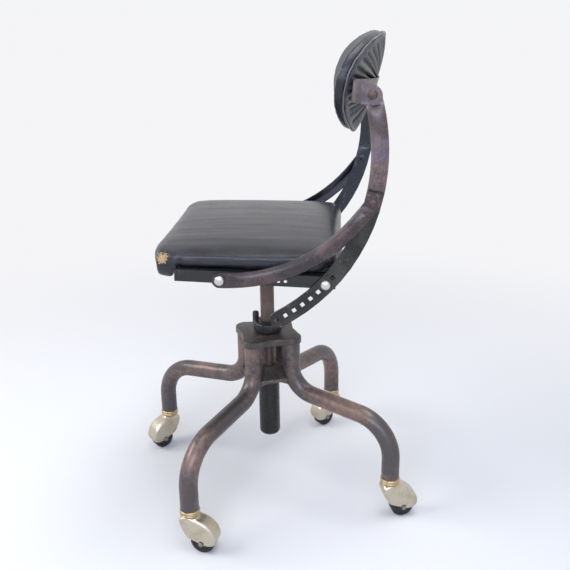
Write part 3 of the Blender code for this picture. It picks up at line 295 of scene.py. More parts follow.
def aged(paint, worn, rust, wear, rusting, scale, smoothness, scratches, **surface):
    return {"look": {"Paint": paint, "Worn": worn, "Rust": rust, "Wear": wear, "Rusting": rusting, "Scale": scale,
                     "Smoothness": smoothness, "Scratches": scratches}, **surface}

metalLooks = {
    "tubeEnamel": aged(
        paint=(0.084, 0.072, 0.073), worn=(0.26, 0.163, 0.13), rust=(0.2, 0.098, 0.066), wear=0.62, rusting=0.34,
        scale=8.5, smoothness=0.38, scratches=0.12, metallic=0.35, bump=0.4, coat=0.08, coatRoughness=0.25),
    "castIron": aged(
        paint=(0.062, 0.053, 0.047), worn=(0.185, 0.152, 0.128), rust=(0.16, 0.1, 0.066), wear=0.66, rusting=0.38,
        scale=30.0, smoothness=0.45, scratches=0.05, metallic=0.3, bump=0.6, bumpDepth=0.001),
    "nutIron": aged(
        paint=(0.03, 0.03, 0.032), worn=(0.1, 0.092, 0.088), rust=(0.105, 0.06, 0.04), wear=0.5, rusting=0.3,
        scale=45.0, smoothness=0.36, scratches=0.1, metallic=0.4, bump=0.6, bumpDepth=0.0009),
    "guardEnamel": aged(
        paint=(0.012, 0.012, 0.011), worn=(0.04, 0.035, 0.03), rust=(0.06, 0.035, 0.022), wear=0.38, rusting=0.2,
        scale=28.0, smoothness=0.28, scratches=0.2, metallic=0.3, bump=0.3),
    "spindleSteel": aged(
        paint=(0.095, 0.066, 0.056), worn=(0.155, 0.105, 0.085), rust=(0.12, 0.055, 0.035), wear=0.6, rusting=0.45,
        scale=24.0, smoothness=0.42, scratches=0.1, metallic=0.35, bump=0.4),
    "blackEnamel": aged(
        paint=(0.011, 0.013, 0.015), worn=(0.034, 0.036, 0.034), rust=(0.06, 0.038, 0.026), wear=0.36, rusting=0.14,
        scale=26.0, smoothness=0.24, scratches=0.16, metallic=0.2, bump=0.25, coat=0.35, coatRoughness=0.12),
    "brownBar": aged(
        paint=(0.042, 0.034, 0.038), worn=(0.13, 0.084, 0.08), rust=(0.145, 0.076, 0.06), wear=0.62, rusting=0.34,
        scale=20.0, smoothness=0.34, scratches=0.22, metallic=0.35, bump=0.35, coat=0.1),
    "nearBar": aged(
        paint=(0.03, 0.026, 0.03), worn=(0.23, 0.165, 0.155), rust=(0.27, 0.15, 0.115), wear=0.66, rusting=0.44,
        scale=20.0, smoothness=0.34, scratches=0.3, metallic=0.35, bump=0.35, coat=0.1),
    "farBar": aged(
        paint=(0.019, 0.023, 0.035), worn=(0.055, 0.062, 0.085), rust=(0.07, 0.054, 0.052), wear=0.5, rusting=0.12,
        scale=22.0, smoothness=0.3, scratches=0.15, metallic=0.25, bump=0.3, coat=0.2),
    "strapSteel": aged(
        paint=(0.095, 0.082, 0.09), worn=(0.23, 0.18, 0.18), rust=(0.2, 0.11, 0.088), wear=0.6, rusting=0.34,
        scale=26.0, smoothness=0.38, scratches=0.15, metallic=0.35, bump=0.35),
    "rivetSteel": aged(
        paint=(0.09, 0.055, 0.048), worn=(0.17, 0.11, 0.092), rust=(0.19, 0.085, 0.058), wear=0.55, rusting=0.5,
        scale=60.0, smoothness=0.42, scratches=0.05, metallic=0.35, bump=0.4),
    "plating": aged(
        paint=(0.62, 0.61, 0.58), worn=(0.42, 0.4, 0.37), rust=(0.2, 0.15, 0.11), wear=0.5, rusting=0.2,
        scale=70.0, smoothness=0.36, scratches=0.1, metallic=0.75, bump=0.4),
    "nickel": aged(
        paint=(0.56, 0.505, 0.4), worn=(0.42, 0.345, 0.235), rust=(0.19, 0.115, 0.065), wear=0.56, rusting=0.27,
        scale=34.0, smoothness=0.31, scratches=0.25, metallic=0.85, bump=0.25),
    "brass": aged(
        paint=(0.5, 0.39, 0.22), worn=(0.33, 0.24, 0.13), rust=(0.1, 0.065, 0.035), wear=0.5, rusting=0.22,
        scale=50.0, smoothness=0.3, scratches=0.15, metallic=0.85, bump=0.3),
    "axleSteel": aged(
        paint=(0.26, 0.22, 0.19), worn=(0.18, 0.12, 0.09), rust=(0.15, 0.07, 0.04), wear=0.5, rusting=0.5,
        scale=70.0, smoothness=0.4, scratches=0.1, metallic=0.6, bump=0.3),
    "blackRubber": aged(
        paint=(0.012, 0.012, 0.014), worn=(0.035, 0.034, 0.034), rust=(0.06, 0.056, 0.052), wear=0.45, rusting=0.2,
        scale=55.0, smoothness=0.58, scratches=0.05, metallic=0.0, bump=0.4),
    "boardWood": aged(
        paint=(0.012, 0.011, 0.011), worn=(0.04, 0.032, 0.026), rust=(0.05, 0.036, 0.026), wear=0.35, rusting=0.3,
        scale=24.0, smoothness=0.62, scratches=0.0, metallic=0.0, bump=0.4),
}
metals = {name: groupMaterial(name, agedMetal, **values) for name, values in metalLooks.items()}

# the near upright is brown down to the joint, and the strap below it black
fadeLook = {"rise": (0.575, 0.6), "grain": 60.0, "ragged": 0.03}
fadeColours = {"Paint": ((0.019, 0.019, 0.018), (0.09, 0.068, 0.07)),
               "Worn": ((0.054, 0.051, 0.047), (0.23, 0.165, 0.155)),
               "Rust": ((0.07, 0.056, 0.046), (0.27, 0.15, 0.115))}
for label, (below, above) in fadeColours.items():
    fadeInput(metals["nearBar"], label, fadeLook, below, above)

glintStreakLook = {"low": 0.655, "high": 0.69, "soft": 0.008, "stretch": (40, 700, 120), "colour": (0.125, 0.15, 0.29),
             "amount": 0.75}

# painted highlight: pale blue glint streaks in a band up the near upright, standing in for a reflection
def paintGlintStreaks(material, look):
    tree = material.node_tree
    shader = tree.nodes["Principled BSDF"]
    height = splitAxes(tree, objectPlace(tree))["Z"]
    rising = rampNode(tree, height, look["low"] - look["soft"], look["low"] + look["soft"])
    falling = rampNode(tree, height, look["high"] + look["soft"], look["high"] - look["soft"])
    lines = noiseNode(tree, stretched(tree, look["stretch"]), 1.0, 3.0, 0.6, 1.0)
    share = times(tree, times(tree, rising, falling), rampNode(tree, lines, 0.52, 0.6))
    share = times(tree, share, look["amount"])
    colour = firstNode(tree, "GROUP").outputs["Colour"]
    tree.links.new(mixColours(tree, share, colour, look["colour"]), shader.inputs["Base Color"])

paintGlintStreaks(metals["nearBar"], glintStreakLook)

threadLook = {"scale": 98.0, "ends": (0.328, 0.318), "depth": 1.5}

# rings of the screw thread on the spindle's lower half
def addThread(material, look):
    tree = material.node_tree
    place = objectPlace(tree)
    rings = addNode(tree, "ShaderNodeTexWave", {"Scale": look["scale"]}, bands_direction="Z")
    tree.links.new(place, rings.inputs["Vector"])
    lower = rampNode(tree, splitAxes(tree, place)["Z"], *look["ends"])
    grooves = times(tree, rings.outputs["Fac"], times(tree, lower, look["depth"]))
    height = plus(tree, firstNode(tree, "GROUP").outputs["Height"], grooves)
    tree.links.new(height, firstNode(tree, "BUMP").inputs["Height"])

addThread(metals["spindleSteel"], threadLook)

leatherLooks = {
    "seatLeather": dict(look={"Scale": 1.0, "Creases": 0.85, "Base": (0.006, 0.006, 0.01),
                              "Rubbed": (0.03, 0.031, 0.043), "Rubbing": 0.5},
                        bump=0.32, bumpDepth=0.0008, coat=0.22, coatRoughness=0.2, specular=0.42),
    "backLeather": dict(look={"Scale": 1.1, "Creases": 0.5, "Base": (0.013, 0.014, 0.022),
                              "Rubbed": (0.05, 0.05, 0.072), "Rubbing": 0.45},
                        bump=0.35, bumpDepth=0.0008, coat=0.14, coatRoughness=0.32, specular=0.42),
    "weltLeather": dict(look={"Scale": 1.4, "Creases": 0.3, "Base": (0.12, 0.118, 0.122),
                              "Rubbed": (0.3, 0.29, 0.27), "Rubbing": 0.7},
                        bump=0.4, bumpDepth=0.0006, coat=0.1),
    "pleatedCloth": dict(look={"Scale": 1.2, "Creases": 0.2, "Base": (0.075, 0.073, 0.088),
                               "Rubbed": (0.18, 0.175, 0.195), "Rubbing": 0.7},
                         bump=0.4, bumpDepth=0.0008, specular=0.25),
}
leathers = {name: groupMaterial(name, leatherGrain, **values) for name, values in leatherLooks.items()}

pleatLook = {"depths": (0.25, 0.85), "shadow": (0.016, 0.016, 0.012), "cream": (0.300, 0.285, 0.185)}

# painted shadow in the folds, and cream streaks along some crests, by the cover's two attributes
def colourPleats(material, look):
    tree = material.node_tree
    fold = addNode(tree, "ShaderNodeAttribute", attribute_name="fold")
    cream = addNode(tree, "ShaderNodeAttribute", attribute_name="cream")
    deep = rampNode(tree, fold.outputs["Fac"], *look["depths"])
    # painted shadow: darker the deeper the fold
    dark = mixColours(tree, deep, firstNode(tree, "GROUP").outputs["Colour"], look["shadow"])
    streaked = mixColours(tree, cream.outputs["Fac"], dark, look["cream"])
    tree.links.new(streaked, tree.nodes["Principled BSDF"].inputs["Base Color"])

colourPleats(leathers["pleatedCloth"], pleatLook)

stuffingLook = {"fibres": 420.0, "dark": (0.300, 0.175, 0.075), "pale": (0.640, 0.460, 0.250), "roughness": 0.95,
                "bump": 0.8, "bumpDepth": 0.001}

def makeStuffingMaterial(look):
    material, tree, shader = newMaterial("stuffing")
    fibres = noiseNode(tree, objectPlace(tree), look["fibres"], 6.0, 0.7, 2.0)
    colour = mixColours(tree, rampNode(tree, fibres, 0.35, 0.65), look["dark"], look["pale"])
    tree.links.new(colour, shader.inputs["Base Color"])
    shader.inputs["Roughness"].default_value = look["roughness"]
    addBump(tree, shader, fibres, look["bump"], look["bumpDepth"])
    return material

stuffing = makeStuffingMaterial(stuffingLook)
print("materials made")


# Mesh helpers
def addPiece(name, mesh, material, body, replaced, sharp=40):
    piece = bpy.data.objects.new(name, mesh)
    mesh.materials.clear()
    mesh.materials.append(material)
    mesh.shade_smooth()
    if sharp:
        mesh.set_sharp_from_angle(angle=math.radians(sharp))
    scene.collection.objects.link(piece)
    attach(piece, body)
    if replaced:
        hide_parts(*replaced)
    return piece

def opened(mesh):
    bm = bmesh.new()
    bm.from_mesh(mesh)
    return bm

def mergedMesh(nodeName):
    bm = opened(nodes[nodeName].data)
    bmesh.ops.remove_doubles(bm, verts=bm.verts, dist=0.00001)
    return bm

def toMesh(bm, name):
    mesh = bpy.data.meshes.new(name)
    bm.to_mesh(mesh)
    bm.free()
    return mesh

# the mesh of a helper object with its modifiers applied
def finishedMesh(piece):
    evaluated = piece.evaluated_get(bpy.context.evaluated_depsgraph_get())
    mesh = bpy.data.meshes.new_from_object(evaluated)
    bpy.data.objects.remove(piece, do_unlink=True)
    return mesh

def helperObject(data):
    helper = bpy.data.objects.new("helper", data)
    scene.collection.objects.link(helper)
    return helper

def remeshed(mesh, voxel):
    helper = helperObject(mesh)
    remesh = helper.modifiers.new("remesh", "REMESH")
    remesh.mode = "VOXEL"
    remesh.voxel_size = voxel
    return finishedMesh(helper)

def smoothed(mesh, rounds, moves=None):
    bm = opened(mesh)
    chosen = [v for v in bm.verts if moves is None or moves(v.co)]
    for _ in range(rounds):
        bmesh.ops.smooth_vert(bm, verts=chosen, factor=0.5, use_axis_x=True, use_axis_y=True, use_axis_z=True)
    return toMesh(bm, mesh.name)

# a piece in place of one CAD node, on that node's body
def standIn(nodeName, mesh, material, sharp=40):
    return addPiece(f"{nodeName}_finish", mesh, material, nodes[nodeName]["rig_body"], (nodeName,), sharp)

# a casting or pressing with its edges softened, in place of the CAD node
def softCopy(nodeName, material, voxel, rounds):
    mesh = smoothed(remeshed(toMesh(mergedMesh(nodeName), nodeName), voxel), rounds)
    return standIn(nodeName, mesh, material, 0)

# the CAD node with whole flat faces and broken edges
def crispCopy(nodeName, material, bevelWidth=0.0004, sharp=35):
    bm = mergedMesh(nodeName)
    bmesh.ops.dissolve_limit(bm, angle_limit=math.radians(0.4), verts=bm.verts, edges=bm.edges)
    piece = standIn(nodeName, toMesh(bm, nodeName), material, sharp)
    bevel = piece.modifiers.new("bevel", "BEVEL")
    bevel.width = bevelWidth
    bevel.segments = 2
    bevel.limit_method = "ANGLE"
    bevel.angle_limit = math.radians(sharp)
    bevel.harden_normals = True
    return piece

# spins (radius, height) pairs about Z, then lays the axis along X where asked
def turnedMesh(profile, steps=48, axis="Z"):
    bm = bmesh.new()
    corners = [bm.verts.new((radius, 0, height)) for radius, height in profile]
    line = [bm.edges.new(pair) for pair in zip(corners, corners[1:])]
    bmesh.ops.spin(bm, geom=corners + line, cent=(0, 0, 0), axis=(0, 0, 1), dvec=(0, 0, 0),
                   angle=2 * math.pi, steps=steps, use_merge=True, use_duplicate=False)
    bmesh.ops.remove_doubles(bm, verts=bm.verts, dist=0.00001)
    bmesh.ops.recalc_face_normals(bm, faces=bm.faces)
    if axis == "X":
        bmesh.ops.rotate(bm, verts=bm.verts, cent=(0, 0, 0), matrix=Matrix.Rotation(math.radians(90), 3, "Y"))
    return toMesh(bm, "turned")

def domePoints(radius, height, base=0.0, steps=8):
    return [(radius * math.sin(math.pi / 2 * k / steps), base + height * math.cos(math.pi / 2 * k / steps))
            for k in range(steps + 1)]

def centreOf(nodeName):
    low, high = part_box(nodeName)
    return (low + high) / 2


# Legs: bent tubes
legLook = {"radius": 0.015875, "topOffset": 0.050, "footOffset": 0.2525, "turn": -27.9, "topZ": 0.3015,
           "kneeZ": 0.2055, "ankleZ": 0.181, "endZ": 0.0795, "kneeBend": 0.050, "ankleBend": 0.072,
           "sides": 40, "bendSteps": 18, "straightSteps": 6}

def extrudeRing(bm, ring, move):
    made = bmesh.ops.extrude_edge_only(bm, edges=ring)["geom"]
    bmesh.ops.translate(bm, verts=[g for g in made if isinstance(g, bmesh.types.BMVert)], vec=move)
    return [g for g in made if isinstance(g, bmesh.types.BMEdge)]

def spinRing(bm, ring, centre, axis, angle, steps):
    made = bmesh.ops.spin(bm, geom=ring, cent=centre, axis=axis, dvec=(0, 0, 0), angle=angle, steps=steps,
                          use_merge=False, use_duplicate=False)["geom_last"]
    return [g for g in made if isinstance(g, bmesh.types.BMEdge)]

# one leg in the XZ plane, running out along +X
def legMesh(look):
    kneeCorner = Vector((look["topOffset"], 0, look["kneeZ"]))
    ankleCorner = Vector((look["footOffset"], 0, look["ankleZ"]))
    along = (ankleCorner - kneeCorner).normalized()
    turn = math.pi / 2 - math.atan2(-along.z, along.x)     # from straight down to along the leg
    kneeReach = look["kneeBend"] * math.tan(turn / 2)
    ankleReach = look["ankleBend"] * math.tan(turn / 2)
    bm = bmesh.new()
    bmesh.ops.create_circle(bm, cap_ends=True, segments=look["sides"], radius=look["radius"])
    bmesh.ops.translate(bm, verts=bm.verts, vec=(look["topOffset"], 0, look["topZ"]))
    ring = list(bm.edges)
    ring = extrudeRing(bm, ring, (0, 0, look["kneeZ"] + kneeReach - look["topZ"]))
    kneeCentre = (look["topOffset"] + look["kneeBend"], 0, look["kneeZ"] + kneeReach)
    ring = spinRing(bm, ring, kneeCentre, (0, 1, 0), -turn, look["bendSteps"])
    straight = (ankleCorner - kneeCorner).length - kneeReach - ankleReach
    for _ in range(look["straightSteps"]):
        ring = extrudeRing(bm, ring, along * straight / look["straightSteps"])
    ankleCentre = (look["footOffset"] - look["ankleBend"], 0, look["ankleZ"] - ankleReach)
    ring = spinRing(bm, ring, ankleCentre, (0, 1, 0), turn, look["bendSteps"])
    ring = extrudeRing(bm, ring, (0, 0, look["endZ"] - (look["ankleZ"] - ankleReach)))
    bmesh.ops.contextual_create(bm, geom=ring)
    bmesh.ops.recalc_face_normals(bm, faces=bm.faces)
    return bm

for index, foot in enumerate(feet):
    leg = legMesh(legLook)
    spinAngle = math.radians(legLook["turn"] + 90 * index)
    bmesh.ops.rotate(leg, verts=leg.verts, cent=(0, 0, 0), matrix=Matrix.Rotation(spinAngle, 3, "Z"))
    addPiece(f"leg_{foot}_tube", toMesh(leg, "leg"), metals["tubeEnamel"], "base", (f"leg_{foot}",))
print("legs made")


# Hub castings, guard, spindle and hand nut
# metal, voxel and rounds of smoothing
castingLooks = {"hub_top_plate": ("castIron", 0.0010, 6), "hub_lower_spider": ("castIron", 0.0011, 6),
                "height_hand_nut": ("nutIron", 0.0008, 5)}
for nodeName, (metal, voxel, rounds) in castingLooks.items():
    softCopy(nodeName, metals[metal], voxel, rounds)

guardLook = {"radius": 0.0196, "wall": 0.003, "top": 0.2085, "bottom": 0.098, "round": 0.009}
def guardProfile(look):
    r, w, t, b, c = (look[key] for key in ("radius", "wall", "top", "bottom", "round"))
    outer = [(r - w, t), (r - 0.0004, t), (r, t - 0.0004), (r, b + c)]
    outer += [(r - c + c * math.cos(math.radians(a)), b + c - c * math.sin(math.radians(a)))
              for a in range(10, 91, 10)]
    return outer + [(0, b), (0, b + w), (r - w - c / 2, b + w), (r - w, b + w + c / 2), (r - w, t)]

addPiece("guard_tube_finish", turnedMesh(guardProfile(guardLook), 64), metals["guardEnamel"], "base",
         ("spindle_guard_tube",))

spindleLook = {"radius": 0.0127, "bottom": 0.191, "shoulder": 0.4193, "pin": 0.0095, "pinTop": 0.4673}
def spindleProfile(look):
    r, b, s, p, t = (look[key] for key in ("radius", "bottom", "shoulder", "pin", "pinTop"))
    return [(0, t), (p - 0.001, t), (p, t - 0.001), (p, s), (r - 0.0005, s), (r, s - 0.0005), (r, b + 0.0015),
            (r - 0.0015, b), (0, b)]

addPiece("spindle_finish", turnedMesh(spindleProfile(spindleLook), 56), metals["spindleSteel"], "spindle",
         ("height_spindle",))
print("hub made")


# Seat frame, arms and side bars
# metal, slot, bevel, the angle that counts as an edge, and the nodes
barLooks = (
    ("blackEnamel", "black_bar", 0.0007, 35, ("seat_rail_left", "seat_rail_right")),
    ("blackEnamel", "black_bar", 0.0007, 35, ("seat_cross_strap_front", "seat_cross_strap_rear")),
    ("castIron", "cast_hub", 0.0006, 35, ("seat_swivel_socket",)),
    ("boardWood", "plywood", 0.0008, 35, ("seat_board",)),
    ("nearBar", "black_bar", 0.0005, 30, ("side_bar_left",)),
    ("farBar", "black_bar", 0.0005, 30, ("side_bar_right",)),
    ("brownBar", "rusty_bar", 0.0005, 30, ("arm_left",)),
    ("farBar", "rusty_bar", 0.0005, 30, ("arm_right",)),
    ("strapSteel", "rusty_bar", 0.0006, 30, ("back_strap",)),
    ("plating", "plated_steel", 0.0004, 35, ("front_nut_left", "rear_nut_left")),
    ("plating", "plated_steel", 0.0004, 35, ("front_nut_right", "rear_nut_right")),
)
for metal, slotName, bevelWidth, sharp, nodeNames in barLooks:
    for nodeName in nodeNames:
        crispCopy(nodeName, metals[metal], bevelWidth, sharp)


# Bolts and rivets: each is turned along X and set on its CAD node
boltLook = {"head": 0.0076, "height": 0.0042, "shank": 0.0030, "seat": 0.2036, "length": 0.0159}
rivetLook = {"height": 0.0026, "shank": 0.0032, "heads": {"arm_rivet": 0.0064, "back_pivot_rivet": 0.0070}}

def boltProfile(look):
    head = domePoints(look["head"], look["height"], 0.0005)
    return head + [(look["head"], 0), (look["shank"], 0), (look["shank"], -look["length"]), (0, -look["length"])]

# moves a piece turned along X to the left side, or its mirror to the right
def placed(mesh, side, x, y, z):
    mesh.transform(Matrix.Translation((x, 0, 0)))
    if side < 0:
        mesh.transform(Matrix.Diagonal((-1, 1, 1, 1)))
        mesh.flip_normals()
    mesh.transform(Matrix.Translation((0, y, z)))
    return mesh

for label, side in sides:
    for end in ("front", "rear"):
        node = f"{end}_bolt_{label}"
        spot = centreOf(node)
        mesh = placed(turnedMesh(boltProfile(boltLook), 40, "X"), side, boltLook["seat"], spot.y, spot.z)
        standIn(node, mesh, metals["plating"])
    for name, radius in rivetLook["heads"].items():
        node = f"{name}_{label}"
        low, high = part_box(node)
        outerX = max(abs(low.x), abs(high.x)) - rivetLook["height"]
        grip = outerX - min(abs(low.x), abs(high.x)) - rivetLook["height"]
        head = domePoints(radius, rivetLook["height"])
        profile = head + [(rivetLook["shank"], 0), (rivetLook["shank"], -grip)]
        profile += [(r, -grip - h) for r, h in reversed(head)]
        spot = centreOf(node)
        metal = "farBar" if side < 0 and name == "arm_rivet" else "rivetSteel"
        mesh = placed(turnedMesh(profile, 36, "X"), side, outerX, spot.y, spot.z)
        standIn(node, mesh, metals[metal])
for label in ("left", "right"):
    crispCopy(f"back_bolt_{label}", metals["rivetSteel"], 0.0003)
print("frame and fasteners made")


# Casters
collarLook = {"radius": 0.0175, "height": 0.0105, "ring": 0.0022, "top": 0.0792, "bore": 0.0051}
wheelLook = {"radius": 0.0206, "halfWidth": 0.0095, "crown": 0.0022, "hub": 0.0075, "bore": 0.0033}

def collarProfile(look):
    r, top, bore, ring = look["radius"], look["top"], look["bore"], look["ring"]
    bottom = top - look["height"]
    middle = (top + bottom) / 2
    rounds = []
    for centre, reach in ((top - ring, r), (middle - 0.0004, r - 0.0007), (bottom + ring, r - 0.0003)):
        for a in (80, 50, 20, -20, -50, -80):
            rounds.append((reach - ring * 0.7 + ring * 0.7 * math.cos(math.radians(a)),
                           centre + ring * 0.85 * math.sin(math.radians(a))))
    return [(bore, top), (r - ring, top)] + rounds + [(r - ring, bottom), (bore, bottom), (bore, top)]

def wheelProfile(look):
    r, half, crown, hub, bore = (look[key] for key in ("radius", "halfWidth", "crown", "hub", "bore"))
    tread = [(r - crown + crown * math.cos(math.radians(a)), half - crown + crown * math.sin(math.radians(a)))
             for a in (90, 65, 40, 15)]
    upper = [(bore, half), (hub, half), (hub + 0.0012, half - 0.0014), (r - 0.0062, half - 0.0014),
             (r - 0.0050, half)] + tread
    return upper + [(radius, -height) for radius, height in reversed(upper)] + [(bore, half)]

hoodLook = {"voxel": 0.0009, "first": 4, "rounds": 60, "side": 0.0116, "well": 0.0236}

# the outside of the pressing is rounded off, the wheel's well inside it stays
def hoodMesh(nodeName, axle, across, look):
    def outside(place):
        apart = place - axle
        sideways = apart.dot(across)
        return abs(sideways) > look["side"] or (apart - across * sideways).length > look["well"]
    mesh = smoothed(remeshed(toMesh(mergedMesh(nodeName), nodeName), look["voxel"]), look["first"])
    return smoothed(mesh, look["rounds"], outside)

for index, foot in enumerate(feet):
    angle = math.radians(legLook["turn"] + 90 * index)
    spot = Vector((legLook["footOffset"] * math.cos(angle), legLook["footOffset"] * math.sin(angle), 0))
    collar = turnedMesh(collarProfile(collarLook), 48)
    collar.transform(Matrix.Translation(spot))
    standIn(f"caster_collar_{foot}", collar, metals["brass"])
    axle = centreOf(f"caster_axle_{foot}")
    heading = (Vector((axle.x, axle.y, 0)) - spot).normalized()
    across = Vector((-heading.y, heading.x, 0))
    hood = f"caster_hood_{foot}"
    standIn(hood, hoodMesh(hood, axle, across, hoodLook), metals["nickel"], 0)
    wheel = turnedMesh(wheelProfile(wheelLook), 56)
    wheel.transform(Matrix.Translation(axle) @ across.to_track_quat("Z", "Y").to_matrix().to_4x4())
    standIn(f"caster_wheel_{foot}", wheel, metals["blackRubber"])
    crispCopy(f"caster_axle_{foot}", metals["axleSteel"], 0.0004)
print("casters made")


# Cushions
clothLook = {"pressure": 2.0, "stiffness": 25.0, "bending": 0.6, "mass": 0.3, "quality": 4,
             "frames": 9, "settling": 4}

# remeshes the solid and lets cloth pressure swell it; points that isHeld picks stay
def puffed(nodeName, look, isHeld):
    mesh = remeshed(toMesh(mergedMesh(nodeName), nodeName), look["voxel"])
    mesh = smoothed(mesh, look["smoothing"])
    helper = helperObject(mesh)
    held = helper.vertex_groups.new(name="held")
    held.add([v.index for v in mesh.vertices if isHeld(v.co)], 1.0, "REPLACE")
    before = [v.co.copy() for v in mesh.vertices]
    cloth = helper.modifiers.new("cloth", "CLOTH")
    settings = cloth.settings
    settings.use_pressure = True
    settings.uniform_pressure_force = clothLook["pressure"]
    settings.quality = clothLook["quality"]
    settings.mass = clothLook["mass"]
    settings.tension_stiffness = clothLook["stiffness"]
    settings.compression_stiffness = clothLook["stiffness"]
    settings.bending_stiffness = clothLook["bending"]
    settings.vertex_group_mass = "held"
    settings.effector_weights.gravity = 0
    cloth.collision_settings.use_collision = False
    for frameNumber in range(1, clothLook["frames"] + 1):
        scene.frame_set(frameNumber)
    swollen = helper.evaluated_get(bpy.context.evaluated_depsgraph_get()).to_mesh()
    after = [v.co.copy() for v in swollen.vertices]
    bpy.data.objects.remove(helper, do_unlink=True)
    scene.frame_set(1)
    for vertex, old, new in zip(mesh.vertices, before, after):
        move = new - old
        if move.length > look["cap"]:
            move *= look["cap"] / move.length
        vertex.co = old + move
    return smoothed(mesh, clothLook["settling"], lambda place: not isHeld(place))

def smoothStep(low, high, value):
    t = min(max((value - low) / (high - low), 0.0), 1.0)
    return t * t * (3 - 2 * t)

seatLook = {"voxel": 0.0031, "smoothing": 5, "cap": 0.0016, "slope": math.radians(2.78), "edgeZ": 0.4861,
            "heldLevel": 0.019, "ripple": 0.0005, "waves": (34, 6, 10), "fineWaves": (80, 11, 20),
            "top": (0.486, 0.515), "side": (0.165, 0.186), "edgeRipple": 0.0010, "edgeWaves": (4, 26, 50),
            "foldY": -0.1175, "foldDepth": 0.0022, "foldWidth": 0.0028, "foldTop": (0.500, 0.514),
            "skirt": 0.0028, "skirtTop": (0.003, 0.016), "drop": 0.0024, "dropTop": (-0.001, 0.003)}

# height over the cushion's sloping lower edge
def seatLevel(place):
    return place.z - (seatLook["edgeZ"] - place.y * math.tan(seatLook["slope"]))

def waveAt(place, scale, shift=0):
    return noise.noise(Vector((place.x * scale[0], place.y * scale[1], place.z * scale[2] + shift)))

# slow waves in the cover, a wavy lower edge and the fold at the front corners
def shapeSeat(mesh, look):
    outward = [vertex.normal.copy() for vertex in mesh.vertices]
    for vertex, normal in zip(mesh.vertices, outward):
        place = vertex.co.copy()
        rise = smoothStep(*look["top"], place.z)
        wave = waveAt(place, look["waves"]) + 0.5 * waveAt(place, look["fineWaves"], 7)
        sideways = smoothStep(*look["side"], abs(place.x))
        edge = waveAt(place, look["edgeWaves"], 3)
        fold = math.exp(-((place.y - look["foldY"]) / look["foldWidth"]) ** 2) * sideways
        fold *= 1 - smoothStep(*look["foldTop"], place.z)
        level = seatLevel(place)
        low = sideways * (1 - smoothStep(*look["skirtTop"], level))
        vertex.co = place + normal * (look["ripple"] * wave * rise * (1 - sideways)
                                      + look["edgeRipple"] * edge * sideways - look["foldDepth"] * fold)
        vertex.co.x += math.copysign(look["skirt"] * low, place.x)
        vertex.co.z -= look["drop"] * low * smoothStep(*look["dropTop"], level)
    mesh.update()

def seatHeld(place):
    return seatLevel(place) < seatLook["heldLevel"]

seatMesh = puffed("seat_cushion", seatLook, seatHeld)
shapeSeat(seatMesh, seatLook)
seatCushion = addPiece("seat_cushion_cover", seatMesh, leathers["seatLeather"], "seat", ("seat_cushion",),
                       0)
print("seat cushion made")


# Tear at the front near corner: stuffing over the cushion, with torn edges
tearLook = {"centre": (0.1885, -0.147, 0.508), "radius": 0.0105, "segments": 66, "ring": 0.3, "spikes": 11,
            "spikeReach": 0.75, "spikePower": 1.4, "lift": 0.0012, "least": 0.0002, "thickness": 0.0006, "seed": 7}

def surfaceOf(mesh):
    bm = opened(mesh)
    tree = BVHTree.FromBMesh(bm)
    bm.free()
    return tree

def tearMesh(look, tree):
    rng = random.Random(look["seed"])
    centre, normal, _, _ = tree.find_nearest(Vector(look["centre"]))
    facing = normal.to_track_quat("Z", "Y").to_matrix().to_4x4()
    bm = bmesh.new()
    bmesh.ops.create_circle(bm, cap_ends=True, segments=look["segments"], radius=look["radius"])
    inset = look["radius"] * look["ring"]
    bmesh.ops.inset_region(bm, faces=bm.faces, thickness=inset, use_even_offset=True)
    bmesh.ops.inset_region(bm, faces=[max(bm.faces, key=lambda f: f.calc_area())], thickness=inset)
    bmesh.ops.poke(bm, faces=[max(bm.faces, key=lambda f: f.calc_area())])
    phases = [rng.uniform(0.35, 1.0) for _ in range(look["spikes"])]
    for vertex in bm.verts:
        angle = math.atan2(vertex.co.y, vertex.co.x) / (2 * math.pi) * look["spikes"] % look["spikes"]
        share = vertex.co.length / look["radius"]
        spike = phases[int(angle) % look["spikes"]] * (1 - abs(2 * (angle % 1) - 1)) ** look["spikePower"]
        vertex.co *= 1 + share * share * (look["spikeReach"] * spike - 0.25)
        height = look["lift"] * (1 - share ** 3) * (0.6 + 0.9 * rng.random()) + look["least"]
        spot, out, _, _ = tree.find_nearest(Matrix.Translation(centre) @ facing @ vertex.co)
        vertex.co = spot + out * height
    bmesh.ops.solidify(bm, geom=bm.faces[:], thickness=look["thickness"])
    bmesh.ops.recalc_face_normals(bm, faces=bm.faces)
    return toMesh(bm, "tear")

tear = addPiece("seat_tear_stuffing", tearMesh(tearLook, surfaceOf(seatMesh)), stuffing, "seat", (),
                0)


# Back: cushion, welt, and the rear cover gathered in pleats
padLook = {"centreY": 0.1668, "centreZ": 0.755, "halfWidth": 0.152, "halfHeight": 0.0805, "fullness": 2.25,
           "tilt": math.radians(16.5), "bend": 0.040, "frontSeam": 0.0085}

# from the pad's oval plane to the chair, bent about the sitter and tilted back
def padPoint(across, up, out):
    tilt = padLook["tilt"]
    ahead = out + padLook["bend"] * (across / padLook["halfWidth"]) ** 2
    return Vector((across, padLook["centreY"] + up * math.sin(tilt) - ahead * math.cos(tilt),
                   padLook["centreZ"] + up * math.cos(tilt) + ahead * math.sin(tilt)))

def ovalPoint(angle, share, out):
    power = 2 / padLook["fullness"]
    across = math.copysign(abs(math.cos(angle)) ** power, math.cos(angle)) * share * padLook["halfWidth"]
    up = math.copysign(abs(math.sin(angle)) ** power, math.sin(angle)) * share * padLook["halfHeight"]
    return padPoint(across, up, out)

backLook = {"voxel": 0.0024, "smoothing": 24, "cap": 0.0015, "heldPast": 0.001}

